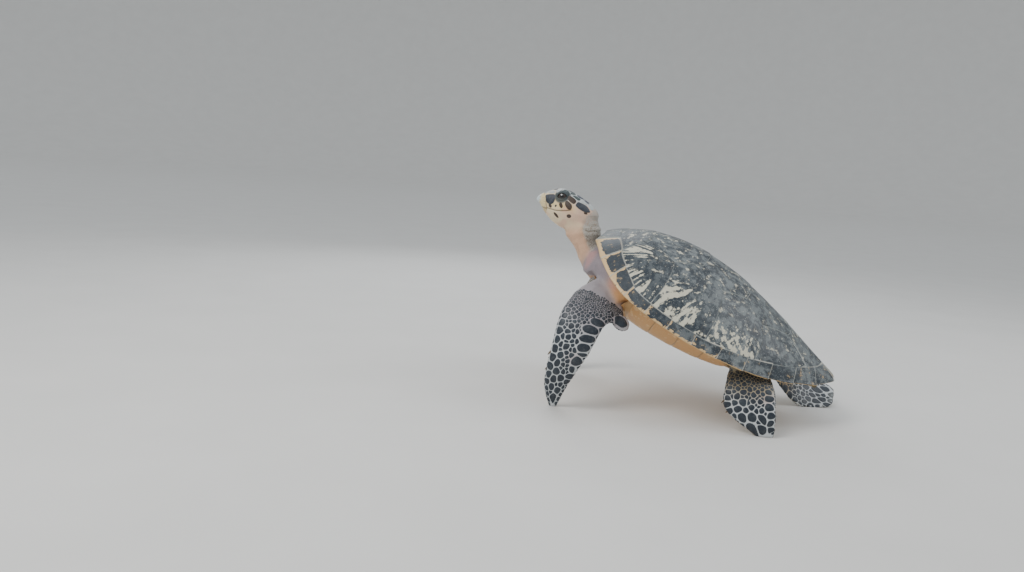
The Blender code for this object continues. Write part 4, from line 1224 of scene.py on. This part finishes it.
def head_ring(y, grow):
    """Section of the head: a flat crown and cheeks tapering to the chin."""
    ring = []
    wide, middle = HEAD_HALF(y) + grow, WIDEST(y)
    for step in range(RING):
        c, s = math.cos(2 * math.pi * step / RING), math.sin(2 * math.pi * step / RING)
        end, flat, arch = (HEAD_TOP(y) + grow, 0.80, 0.86) if s >= 0 else (HEAD_LOW(y) - grow, 0.92, 0.95)
        height = middle + (end - middle) * abs(s) ** arch
        ring.append(Vector((wide * math.copysign(abs(c) ** flat, c), y, height)))
    return ring


def lofted(rings):
    """One ring of edges run through a row of rings by extruding its face again and again."""
    bm = bmesh.new()
    bmesh.ops.create_circle(bm, cap_ends=True, segments=len(rings[0]), radius=1.0)
    cap = bm.faces[:][0]
    for vert, place in zip(cap.verts, rings[0]):
        vert.co = place
    for ring in rings[1:]:
        made = bmesh.ops.extrude_face_region(bm, geom=[cap])["geom"]
        cap = [item for item in made if isinstance(item, bmesh.types.BMFace)][0]
        for vert, place in zip(cap.verts, ring):
            vert.co = place
    bmesh.ops.recalc_face_normals(bm, faces=bm.faces)
    return bm


def sliced(bm, point, normal, soft):
    """Keeps what lies behind the plane, closes the cut and rounds its edge."""
    made = cut(bm, point, normal, clear_outer=True, dist=1e-6)
    edges = [item for item in made if isinstance(item, bmesh.types.BMEdge)]
    bmesh.ops.edgeloop_fill(bm, edges=edges)
    bmesh.ops.bevel(bm, geom=edges, offset=soft, segments=2, profile=0.5, affect="EDGES", material=-1)


def beak_half(upper):
    """The horn of one jaw, cut off where the skin begins and at the mouth."""
    grow = 0.0011 if upper else 0.0008
    stations = [0.0005 + 0.0330 * (step / 36) ** 1.35 for step in range(37)]
    bm = lofted([head_ring(y, grow * ease(y, 0.0, 0.004)) for y in stations])
    edge = UPPER_EDGE if upper else LOWER_EDGE
    slope = edge[1] - edge[0]
    backward = Vector((0, -slope.z, slope.y)).normalized()
    sliced(bm, edge[0], backward if backward.y > 0 else -backward, 0.0007)
    height = MOUTH - 0.0012 if upper else MOUTH - 0.0016
    sliced(bm, Vector((0, 0, height)), Vector((0, 0, -1 if upper else 1)), 0.0005)
    for vert in bm.verts:
        place = vert.co.copy()
        if upper:
            vert.co.z -= 0.0012 * hump(place.y, 0.006) * ease(place.z, 0.008, -0.004)
            vert.co.y += 0.0013 * hump(off_left(place, NOSTRIL), 0.0013)
        else:
            tuck = 0.0011 * hump(place.z - height, 0.0035)
            vert.co.x -= math.copysign(min(tuck, abs(place.x)), place.x)
            vert.co.y += tuck
        vert.co.y += 0.0012 * math.sin(place.z * 210) * ease(place.y, 0.010, 0.016)
    bmesh.ops.transform(bm, matrix=HEAD, verts=bm.verts)
    return bm


beak = Paint("beak_horn")
spot = beak.here()
own = beak.attribute("tone", "Color")
streaks = beak.noise(beak.stretched(spot, (1.0, 0.35, 1.6)), 420.0, 3.0)
beak_material = beak.surface(
    Base_Color=beak.mix(beak.rise(streaks, 0.45, 0.75) * 0.55, own, tone(150, 118, 78)),
    Roughness=0.34 + streaks * 0.16, Coat_Weight=0.15,
    Normal=beak.bump(streaks * 0.5 + beak.noise(spot, 700.0, 2.0) * 0.3, 0.00025, 0.6))

for word, upper in (("upper", True), ("lower", False)):
    horn = beak_half(upper)
    tone_layer = horn.verts.layers.float_color.new("tone")
    for vert in horn.verts:
        place = FROM_HEAD @ vert.co
        from_tip = place.y + 0.3 * abs(place.z)
        colour = blend(tone(204, 218, 222), tone(224, 206, 158), ease(from_tip, 0.0045, 0.012))
        colour = blend(colour, tone(206, 176, 128), 0.5 * ease(place.y, 0.016, 0.026))
        # painted shade: a dark band where the upper and lower horn meet at the mouth
        colour = blend(colour, tone(92, 66, 44), 0.8 * hump(place.z - MOUTH + 0.0015, 0.0008))
        vert[tone_layer] = (*colour, 1.0)
    finish("beak_" + word, horn, beak_material, ["beak_" + word])

# %% [markdown]
# The eye is a ball whose poles point along its line of sight, so that its rings of faces follow the
# iris. Each point knows its angle from the middle of the pupil, and the shader draws a black pupil in
# a brown iris and a dark rim from it. A coat makes it wet.

# %% Eyes
eye = Paint("wet_eye")
gaze = eye.attribute("gaze")
fibres = eye.noise(eye.here(), 700.0, 3.0)
iris = eye.mix(fibres, tone(30, 24, 22), tone(66, 50, 38))
colour = eye.mix(eye.rise(gaze, 0.36, 0.42), tone(4, 4, 5), iris)
colour = eye.mix(eye.rise(gaze, 0.66, 0.76), colour, tone(20, 20, 22))
eye_material = eye.surface(Base_Color=colour, Roughness=0.18, Coat_Weight=1.0, Coat_Roughness=0.03)

for side, word in ((1, "left"), (-1, "right")):
    ball = bmesh.new()
    bmesh.ops.create_uvsphere(ball, u_segments=48, v_segments=32, radius=EYE_RADIUS)
    gaze_layer = ball.verts.layers.float.new("gaze")
    for vert in ball.verts:
        vert[gaze_layer] = vert.co.angle(Vector((0, 0, 1)))
    facing = eye_axes(side)[0].to_track_quat("Z", "Y").to_matrix().to_4x4()
    bmesh.ops.transform(ball, matrix=HEAD @ Matrix.Translation(eye_centre(side)) @ facing, verts=ball.verts)
    finish("eye_" + word, ball, eye_material, ["eye_" + word])

# %% [markdown]
# Sea turtles keep one or two small claws on the front edge of each flipper. A claw is a round cone
# that droops towards its point, so rings of falling size are run along a bent line.

# %% Claws
CLAWS = (
    ((0.1685, -0.0440, 0.104), (0.25, -0.80, -0.60), 0.0085, 0.0023),
    ((0.1650, -0.0490, 0.074), (0.25, -0.80, -0.60), 0.0060, 0.0018),
    ((-0.1653, -0.0640, 0.112), (-0.25, -0.80, -0.60), 0.0085, 0.0023),
    ((-0.1618, -0.0725, 0.080), (-0.25, -0.80, -0.60), 0.0060, 0.0018),
    ((0.1465, 0.2590, 0.052), (0.20, -0.85, -0.50), 0.0070, 0.0020),
    ((0.1510, 0.2665, 0.036), (0.20, -0.80, -0.60), 0.0055, 0.0017),
    ((-0.1590, 0.4200, 0.0495), (-0.85, 0.20, 0.10), 0.0070, 0.0020),
    ((-0.1660, 0.4430, 0.0420), (-0.85, 0.30, 0.05), 0.0055, 0.0017),
)
claws_bm = bmesh.new()
for root, point, length, radius in CLAWS:
    root, point = Vector(root) + MIDDLE_SHIFT, Vector(point).normalized()
    side = point.cross(Vector((0, 0, 1))).normalized()
    droop = -side.cross(point).normalized()
    rings = []
    for step in range(13):
        u = lerp(-0.3, 1.0, step / 12)
        fat = radius * (1.0 if u < 0 else math.sqrt(max(0.02, 1.0 - u * u)) * (1.0 - 0.35 * u))
        centre = root + point * length * u + droop * length * 0.26 * max(u, 0.0) ** 2
        rings.append([centre + (side * math.cos(a) * 0.9 + droop * math.sin(a)) * fat
                      for a in [2 * math.pi * k / 16 for k in range(16)]])
    append(claws_bm, lofted(rings))
claw = Paint("claw_horn")
grime = claw.noise(claw.here(), 350.0, 4.0)
claw_material = claw.surface(Base_Color=claw.mix(grime, tone(58, 50, 42), tone(128, 112, 90)), Roughness=0.38,
                             Normal=claw.bump(grime, 0.0003, 0.6))
finish("claws", claws_bm, claw_material, [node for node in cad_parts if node.startswith("claw")])

# %% [markdown]
# Scales come next. Each is a small closed plate that lies on the skin, so a helper grows one from a
# circle: it is stretched to an oval, then cut by a plane halfway to every neighbour, so that crowded
# scales become polygons and loose ones stay round. The corners are smoothed, the face is extruded and
# inset into a low cushion, and at last every point is laid on the skin at its own height.

# %% Making one scale
def near_skin(place):
    """The nearest place of the skin and its normal."""
    return SURFACE.find_nearest(place)[:2]


class Scale:
    """One scale: its place on the skin, half-width, stretch along a direction, tone and height."""

    def __init__(self, place, size, colour, long, ratio, rise, patch):
        self.at, self.normal = near_skin(Vector(place))
        self.size, self.ratio, self.colour, self.rise, self.patch = size, ratio, colour, rise, patch
        along = Vector(long) - self.normal * self.normal.dot(Vector(long))
        self.long = along.normalized() if along.length > 1e-4 else self.normal.orthogonal().normalized()
        self.side = self.normal.cross(self.long)

    def reach(self, unit):
        """How far the scale reaches along a direction."""
        share = (unit.dot(self.long) / self.ratio) ** 2 + unit.dot(self.side) ** 2
        return self.size / math.sqrt(max(share, 0.05))

    def steer(self, gap):
        """Turns a gap so that a cut across it runs along the border of a long scale."""
        return gap - self.long * gap.dot(self.long) * (1.0 - self.ratio ** -2)


SCALE_ROOT, NARROWEST_SEAM, WIDEST_SEAM = -0.0006, 0.0004, 0.0021


def seam_between(one, other):
    return clamp(0.115 * (one.size + other.size), NARROWEST_SEAM, WIDEST_SEAM)


def cell(scale, neighbours, sides, insets, loose):
    """A bmesh of the scale, flat, with x along it, y across it and z the height over the skin, or None."""
    bm = bmesh.new()
    bmesh.ops.create_circle(bm, cap_ends=True, segments=sides, radius=scale.size * loose)
    bmesh.ops.scale(bm, vec=(scale.ratio, 1.0, 1.0), verts=bm.verts)
    for other in neighbours:
        gap = other.at - scale.at
        flat = Vector((gap.dot(scale.long), gap.dot(scale.side), 0.0))
        if flat.length < 0.35 * gap.length or scale.normal.dot(other.normal) < -0.3:
            continue
        unit = gap.normalized()
        mine, theirs = scale.reach(unit), other.reach(unit)
        if gap.length > (mine + theirs) * 1.5:
            continue
        steer = scale.steer(gap) + other.steer(gap)
        normal = Vector((steer.dot(scale.long), steer.dot(scale.side), 0.0)).normalized()
        point = flat.normalized() * gap.length * mine / (mine + theirs)
        cut(bm, point - normal * 0.5 * seam_between(scale, other), normal, clear_outer=True, dist=1e-7)
        if not bm.faces:
            bm.free()
            return None
    bmesh.ops.remove_doubles(bm, verts=bm.verts, dist=0.10 * scale.size)
    if len(bm.faces) != 1 or len(bm.verts) < 4:
        bm.free()
        return None
    long_edges = [edge for edge in bm.edges if edge.calc_length() > 0.62 * scale.size]
    if long_edges:
        bmesh.ops.bisect_edges(bm, edges=long_edges, cuts=2 if insets > 1 else 1)
    for step in range(2 if insets > 1 and scale.size > 0.004 else 1):
        bmesh.ops.smooth_vert(bm, verts=bm.verts, factor=0.36, use_axis_x=True, use_axis_y=True)
    bmesh.ops.recalc_face_normals(bm, faces=bm.faces)
    face = bm.faces[:][0]
    if face.normal.z < 0:
        bmesh.ops.reverse_faces(bm, faces=[face])
    rim = bm.verts.layers.float.new("rim")
    for vert in bm.verts:
        vert.co.z, vert[rim] = SCALE_ROOT, 1.0
    made = bmesh.ops.extrude_face_region(bm, geom=[face], use_keep_orig=True)["geom"]
    top = [item for item in made if isinstance(item, bmesh.types.BMFace)][0]
    for vert in top.verts:
        vert.co.z = 0.35 * scale.rise
    for number in range(insets):
        bmesh.ops.inset_region(bm, faces=[top], thickness=0.13 * scale.size, use_even_offset=True)
        for vert in top.verts:
            vert.co.z, vert[rim] = scale.rise * (0.85, 1.0)[number], (0.45, 0.0)[number]
    heart = bmesh.ops.poke(bm, faces=[top])["verts"]
    for vert in heart:
        vert.co.z, vert[rim] = scale.rise * 1.12, 0.0
    bmesh.ops.recalc_face_normals(bm, faces=bm.faces)
    return bm


print("scale maker ready")

# %% [markdown]
# A coat is one piece made of many scales. Neighbours are found with a search tree. Every scale carries
# its tone and how near each point is to its rim, and lies on a small patch of the bake map, at the
# place of its root.

# %% Making a coat of scales
TINY_SCALE, PATCH, GROUNDED = 0.0025, 0.0014, 0.003


def coat(name, scales, nodes, sides=18, loose=1.5):
    """One piece of many scales; loose says how much larger than its size a scale with no neighbour is."""
    # none where a limb rests on the floor
    scales = [scale for scale in scales if scale.at.z > GROUNDED or scale.normal.z > -0.2]
    tree = KDTree(len(scales))
    for number, scale in enumerate(scales):
        tree.insert(scale.at, number)
    tree.balance()
    widest = max(scale.size * scale.ratio for scale in scales)
    whole = bmesh.new()
    tones = whole.verts.layers.float_color.new("tone")
    rims = whole.verts.layers.float.new("rim")
    bake = whole.loops.layers.uv.new("OFBake")
    count = 0
    for number, scale in enumerate(scales):
        near = tree.find_range(scale.at, min(2.4 * scale.size * scale.ratio + 1.5 * widest, 0.06))
        near = [scales[found[1]] for found in sorted(near, key=lambda found: found[2])[1:26]]
        bm = cell(scale, near, *((8, 1) if scale.size < TINY_SCALE else (sides, 2)), loose)
        if bm is None:
            continue
        count += 1
        rim = bm.verts.layers.float["rim"]
        made, flat = {}, {}
        for vert in bm.verts:
            spot, normal = near_skin(scale.at + scale.long * vert.co.x + scale.side * vert.co.y)
            new = whole.verts.new(spot + normal * vert.co.z)
            new[tones], new[rims] = (*scale.colour, 1.0), vert[rim]
            made[vert] = new
            flat[new] = (scale.patch[0] + PATCH * vert.co.x / (scale.size * scale.ratio),
                         scale.patch[1] + PATCH * vert.co.y / scale.size)
        for face in bm.faces:
            if min(vert.co.z for vert in face.verts) > 0:
                corners = [made[vert] for vert in face.verts]
                middle = sum((vert.co for vert in corners), Vector()) / len(corners)
                spot, normal = near_skin(middle)
                sunk = max(0.35 * scale.rise - (middle - spot).dot(normal), 0.0)
                for vert in corners:
                    vert.co += normal * sunk
        for vert in made.values():
            vert.co.z = max(vert.co.z, 0.0)
        for face in bm.faces:
            new_face = whole.faces.new([made[vert] for vert in face.verts])
            for loop in new_face.loops:
                loop[bake].uv = flat[loop.vert]
        bm.free()
    print("%s: %d scales" % (name, count))
    finish(name, whole, scale_material, nodes)


scaly = Paint("scales")
spot = scaly.here()
own = scaly.attribute("tone", "Color")
rim = scaly.attribute("rim")
cloud = scaly.noise(spot, 160.0, 4.0)
fine = scaly.noise(spot, 900.0, 3.0)
light = scaly.mix(0.55, own, tone(196, 200, 200))
colour = scaly.mix(scaly.rise(cloud * 0.6 + fine * 0.4, 0.46, 0.68) * 0.14, own, light)
colour = scaly.mix(scaly.rise(rim * 0.8 + cloud * 0.4, 0.78, 1.15) * 0.6, colour, light)
scale_material = scaly.surface(
    Base_Color=colour, Roughness=0.36 + cloud * 0.22, Coat_Weight=0.06,
    Normal=scaly.bump(cloud * 0.7 + fine * 0.4, 0.0005, 0.8))

# %% [markdown]
# On a flipper the scales grow in lines: plates along both sides of the leading edge that widen towards
# the tip, very large ovals along the trailing edge that lie across the blade, and polygons between them
# that shrink to granules at the shoulder. The rows along the edges are laid out by length. The rest is
# filled at random places of the skin, each kept only if it has room, which gives the natural crowding.

# %% Laying out the scales of the flippers
DARK_SCALE, DARK_TWIN = tone(30, 39, 50), tone(44, 54, 64)
GRID_STEP = 0.02
random.seed(7)


class Ground:
    """Random places on the skin of one limb, with their coordinates along and across it."""

    def __init__(self, node, count):
        self.blade = BLADES[node]
        self.lines = []
        for step in range(4, 81):
            lead, trail, thick, face = self.blade.section(step / 80)
            self.lines.append((step / 80, lead, trail - lead, face))
        pool = [(place, normal) for place, normal, weights in skin_points if weights.get(node, 0.0) > 0.5]
        self.spots = random.sample(pool, min(count, len(pool)))

    def where(self, place, normal):
        best = None
        for along, lead, chord, face in self.lines:
            across = clamp((place - lead).dot(chord) / chord.length_squared)
            away = (lead + chord * across - place).length
            if best is None or away < best[0]:
                best = (away, along, across, face.dot(normal))
        return best[1:]


def scale_tone(outer, along, across, pale_tip):
    """Dark above, cream with few dark scales below."""
    night = blend(DARK_SCALE, DARK_TWIN, random.random() ** 2)
    night = blend(night, tone(74, 76, 74), 0.4 * random.random() * ease(along, 0.35, 0.2))
    day = blend(tone(206, 196, 168), tone(174, 168, 150), random.random())
    if across > 0.62 or across < 0.10:
        day = blend(day, DARK_TWIN, 0.75)
    colour = blend(day, night, ease(outer, -0.25, 0.10))
    return blend(colour, tone(120, 124, 124), pale_tip)


def patch_of(along, across, outer):
    """The place of a scale on the bake map: its outer face on one half, its inner face on the other."""
    return 0.02 + 0.96 * along, (0.02 if outer > 0 else 0.52) + 0.46 * across


def edge_row(blade, begin, across_of, lengths, side, rise):
    """Scales one behind the other along a flipper, each as long as the list says."""
    row, along = [], begin
    for length, depth in lengths:
        step = along
        while (blade.spot(step, across_of(step, depth), side)
               - blade.spot(along, across_of(along, depth), side)).length < length and step < 1.0:
            step += 0.002
        if step >= 1.0:
            break
        middle = 0.5 * (along + step)
        across = across_of(middle, depth)
        lead, trail = blade.section(middle)[:2]
        colour = scale_tone(side, middle, across, 0.5 * ease(middle, 0.9, 1.0))
        narrow, wide = sorted((length, depth))
        way = blade.spot(step, across, side) - blade.spot(along, across, side)
        if depth > length:
            way = (trail - lead).normalized()
        row.append(Scale(blade.spot(middle, across, side), 0.5 * narrow, colour, way, wide / narrow, rise,
                         patch_of(middle, across, side)))
        along = step
    return row


def too_close(place, size, other, room):
    gap = place - other.at
    return gap.length < room * (size + other.reach(gap.normalized()))


def fill(row, ground, size_of, pale_tip, bare):
    """Adds scales to a row at random places with room, full-sized ones first, but none on a bare spot."""
    scales, grid = [], {}

    def keep(scale):
        scales.append(scale)
        grid.setdefault(tuple(int(value // GRID_STEP) for value in scale.at), []).append(scale)

    for scale in row:
        keep(scale)
    spots = [(place, normal, *ground.where(place, normal)) for place, normal in ground.spots]
    for share, room in ((1.0, 0.92), (0.75, 0.84), (0.50, 0.84)):
        for place, normal, along, across, outer in spots:
            size = size_of(along, across) * share
            edge = min(across, 1.0 - across) * ground.blade.chord(along)
            sharp = along > 0.3 and abs(outer) < 0.45 and edge < 0.004
            grazed = bare and (place - bare).length < 0.0075
            size = 0.0 if sharp or grazed else min(size, max(0.0022, 1.2 * edge))
            key = [int(value // GRID_STEP) for value in place]
            near = [other for i in (-1, 0, 1) for j in (-1, 0, 1) for k in (-1, 0, 1)
                    for other in grid.get((key[0] + i, key[1] + j, key[2] + k), ())
                    if normal.dot(other.normal) > -0.2]
            if not size or any(too_close(place, size, other, room) for other in near):
                continue
            ahead, here = ground.blade.section(min(along + 0.05, 1.0)), ground.blade.section(along)
            colour = scale_tone(outer, along, across, pale_tip * ease(along, 0.88, 1.0))
            keep(Scale(place, size, colour, (ahead[0] + ahead[1]) - (here[0] + here[1]),
                       lerp(1.0, 1.4, ease(along, 0.5, 0.75)), rise_of(size), patch_of(along, across, outer)))
    return scales


def rise_of(size):
    return clamp(0.07 * size + 0.00015, 0.0002, 0.0007)


print("scales can be laid out")

# %% [markdown]
# The near front flipper sets the pattern: the lobe of its armpit carries one scale on each face, and the
# trailing row starts with ovals over thirty millimetres long and ends with small ones near the tip.
# The other limbs use the same rows with lengths of their own.

# %% Scales of the flippers
def mm(*pairs):
    """Lengths along and depths across the limb, given in millimetres."""
    return [(long / 1000, deep / 1000) for long, deep in pairs]


def from_trail(blade):
    return lambda along, depth: 1.0 - 0.46 * depth / blade.chord(along)


def from_lead(blade):
    return lambda along, depth: 0.44 * depth / blade.chord(along)


LEADING = mm((7, 7), (8, 8), (10, 9), (12, 10), (14, 11), (16, 12), (17, 13), (18, 13), (18, 14), (18, 14),
             (17, 13), (16, 12), (14, 11), (12, 9), (10, 8))
REAR_LEADING = mm((7, 8), (8, 9), (9, 10), (10, 11), (12, 12), (13, 12), (13, 11), (12, 9))
FRONT_TRAILING = mm((19, 33), (21, 37), (19, 32), (20, 27), (11, 14), (22, 22), (16, 17), (14, 13), (12, 9))
REAR_TRAILING = mm((12, 15), (15, 19), (16, 20), (15, 16), (13, 12), (10, 8))


def front_size(along, across):
    if along < 0.13:
        return 0.0
    size = lerp(0.0015, 0.0062, ease(along, 0.15, 0.42))
    if 0.42 < across < 0.66 and along < 0.72:
        size *= 0.72
    return size * (1.1 if across < 0.28 else 1.0)


def rear_size(along, across):
    if along < 0.16:
        return 0.0
    size = lerp(0.0024, 0.0068, ease(along, 0.16, 0.46)) * lerp(1.0, 1.2, ease(along, 0.5, 0.7))
    return size * (0.85 if across > 0.5 else 1.05)


for node, blade in BLADES.items():
    front = "front" in node
    leading, trailing = (LEADING, FRONT_TRAILING) if front else (REAR_LEADING, REAR_TRAILING)
    scales = []
    if front:
        for side in (1, -1):
            place, patch = LOBES[node] @ Vector((0.1, 0.0, side)), patch_of(*LOBE_SPOT, side)
            scales.append(Scale(place, 0.0130, DARK_SCALE, LOBE_WAY, 1.36, 0.0010, patch))
    for side in (1, -1):
        scales += edge_row(blade, 0.262 if front else 0.24, from_trail(blade), trailing, side, 0.0010)
        scales += edge_row(blade, 0.17 if front else 0.22, from_lead(blade), leading, side, 0.0008)
    ground = Ground(node, 5200 if front else 3200)
    graze = blade.spot(0.36, 0.78, 1) if node == "flipper_rear_left" else None
    scales = fill(scales, ground, front_size if front else rear_size, 0.35 if front else 0.7, graze)
    coat("scales_" + node, scales, [node], loose=1.9)

# %% [markdown]
# The plates of the head are placed one by one, as every turtle of this kind has the same ones: two
# pairs of prefrontals on the snout, a frontal between the brows, a wide plate over each eye, a pair of
# parietals behind, and postoculars and temporals down to the cheek. They are dark with whitish
# borders. Smaller brown scales mark the jaws.

# %% Plates of the head
SLATE, TEAL, BLUISH, UMBER = tone(46, 52, 62), tone(48, 64, 64), tone(40, 50, 74), tone(58, 42, 30)
BROW = tone(176, 182, 182)
# place in the head's frame in mm, half-width in mm, tone, direction of its length, ratio, height in mm
CROWN = (
    ((4.6, 17.5, 23.5), 4.4, BROW, (0, 1, 0), 1.25, 0.5),
    ((5.6, 30.0, 28.2), 4.8, SLATE, (0, 1, 0), 1.15, 0.6),
    ((17.0, 26.0, 8.8), 5.5, SLATE, (0.1, 0.62, -0.78), 1.32, 0.7),
    ((11.8, 24.0, 20.5), 4.2, BROW, (0, 1, 0.2), 1.15, 0.5),
    ((10.5, 38.0, 28.6), 5.4, BROW, (0, 1, 0), 1.30, 0.6),
    ((0.0, 43.0, 31.5), 4.6, BROW, (0, 1, 0), 1.50, 0.6),
    ((12.5, 51.0, 29.4), 5.0, TEAL, (0, 1, 0), 1.45, 0.8),
    ((0.0, 60.0, 30.6), 5.2, SLATE, (0, 1, 0), 1.25, 0.7),
    ((10.0, 64.5, 28.0), 6.0, TEAL, (0, 1, 0), 1.25, 0.7),
    ((7.0, 79.5, 25.0), 7.2, BLUISH, (0, 1, 0), 1.25, 0.7),
    ((19.5, 75.0, 22.0), 5.6, TEAL, (0, 1, -0.3), 1.20, 0.7),
    ((28.5, 68.5, 18.0), 4.4, UMBER, (0, 1, -0.4), 1.35, 0.6),
    ((31.5, 64.0, 5.5), 3.0, UMBER, (0, 1, -1), 1.65, 0.7),
    ((29.5, 91.0, 12.0), 5.6, SLATE, (0, 1, -0.2), 1.75, 0.7),
    ((21.0, 89.5, 18.5), 5.0, BROW, (0, 1, -0.2), 1.30, 0.6),
    ((12.5, 94.0, 20.0), 5.4, BLUISH, (0, 1, -0.2), 1.25, 0.6),
    ((0.0, 93.0, 21.5), 4.8, SLATE, (0, 1, 0), 1.20, 0.5),
    ((7.0, 104.5, 15.5), 4.8, BROW, (0, 1, -0.5), 1.10, 0.5),
    ((19.0, 102.0, 12.5), 4.6, BROW, (0, 1, -0.5), 1.10, 0.5),
)
JAW = (
    ((20.5, 30.5, -5.5), 2.5, UMBER, (0, 1, -0.6), 1.50, 0.35),
    ((27.0, 40.5, -2.5), 1.6, SLATE, (0, 0.3, 1), 1.30, 0.35),
    ((30.5, 50.0, 1.5), 2.7, UMBER, (0, 0.8, -1), 1.75, 0.35),
    ((25.5, 46.0, -19.5), 2.4, UMBER, (0, 1, -0.6), 2.30, 0.30),
    ((34.0, 70.5, -13.5), 3.0, UMBER, (0, 1, 0.3), 1.25, 0.30),
    ((33.5, 99.0, 0.5), 1.9, UMBER, (0, 1, 0), 1.70, 0.30),
)


def head_scales(plates, grow):
    scales = []
    for (x, y, z), size, colour, way, ratio, rise in plates:
        for side in (1, -1) if x else (1,):
            place = HEAD @ Vector((side * x / 1000, y / 1000, z / 1000))
            direction = HEAD.to_3x3() @ Vector((side * way[0], way[1], way[2]))
            patch = (0.5 + side * 0.012 * x, 0.05 + 0.006 * y + (0.0 if z > 0 else 0.2))
            scales.append(Scale(place, size * grow / 1000, colour, direction, ratio, rise / 1000, patch))
    return scales


coat("head_plates", head_scales(CROWN, 1.3), ["head"], sides=32)
coat("jaw_scales", head_scales(JAW, 1.15), ["head"], sides=24, loose=1.1)

# %% [markdown]
# The nape and the tail are pebbled with granules: one to two millimetres wide on the nape, smallest
# towards the throat, and four on the tail. They fill random places of the skin in the same way.

# %% Granules of the neck and the tail
GRANULE_GRID, TAIL_GRANULE = 0.006, 0.0021


def granules(node, count, size_of, colour_of):
    pool = [(place, normal) for place, normal, weights in skin_points
            if weights.get(node, 0.0) > 0.35 or node == "neck" and weights.get("head", 0.0) > 0.5]
    scales, grid = [], {}
    for place, normal in random.sample(pool, min(count, len(pool))):
        local = FROM_HEAD @ place
        size = size_of(place, local)
        key = tuple(int(value // GRANULE_GRID) for value in place)
        near = [other for i in (-1, 0, 1) for j in (-1, 0, 1) for k in (-1, 0, 1)
                for other in grid.get((key[0] + i, key[1] + j, key[2] + k), ())]
        if not size or any((place - other.at).length < 0.88 * (size + other.size) for other in near):
            continue
        turn = math.atan2(local.x, local.y - 0.11) / (2 * math.pi) + 0.5
        scale = Scale(place, size, colour_of(place, local), (1, 0, 0), 1.0, 0.17 * size,
                      (0.02 + 0.96 * turn, clamp(0.5 + 4.0 * (local.z + 0.05), 0.02, 0.98)))
        scales.append(scale)
        grid.setdefault(key, []).append(scale)
    return scales


def neck_granule(place, local):
    rear = nape(place)
    upper = ease(local.y + 0.008 * noise.noise(local * 60), 0.100, 0.112) * ease(local.z, 0.014, 0.004)
    rear *= upper if local.z > -0.03 else 1.0
    return lerp(0.0006, 0.0011, ease(rear, 0.30, 0.9)) if rear > 0.30 else 0.0


def neck_granule_tone(place, local):
    colour = blend(neck_tone(place), tone(206, 200, 184), 0.15 + 0.30 * random.random())
    return blend(colour, tone(184, 184, 180), 0.4 * ease(local.z, -0.06, -0.01))


def tail_granule(place, local):
    return TAIL_GRANULE


def tail_granule_tone(place, local):
    return blend(OLIVE, tone(70, 72, 70), random.random())


coat("neck_granules", granules("neck", 22000, neck_granule, neck_granule_tone), ["neck"])
coat("tail_granules", granules("tail", 1500, tail_granule, tail_granule_tone), ["tail"])

# %% Finish
visual_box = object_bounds()
for word, box in (("solids", CAD_BOX), ("model", visual_box)):
    print(word, "%.1f x %.1f x %.1f mm" % tuple(1000 * (high - low) for low, high in zip(*box)))
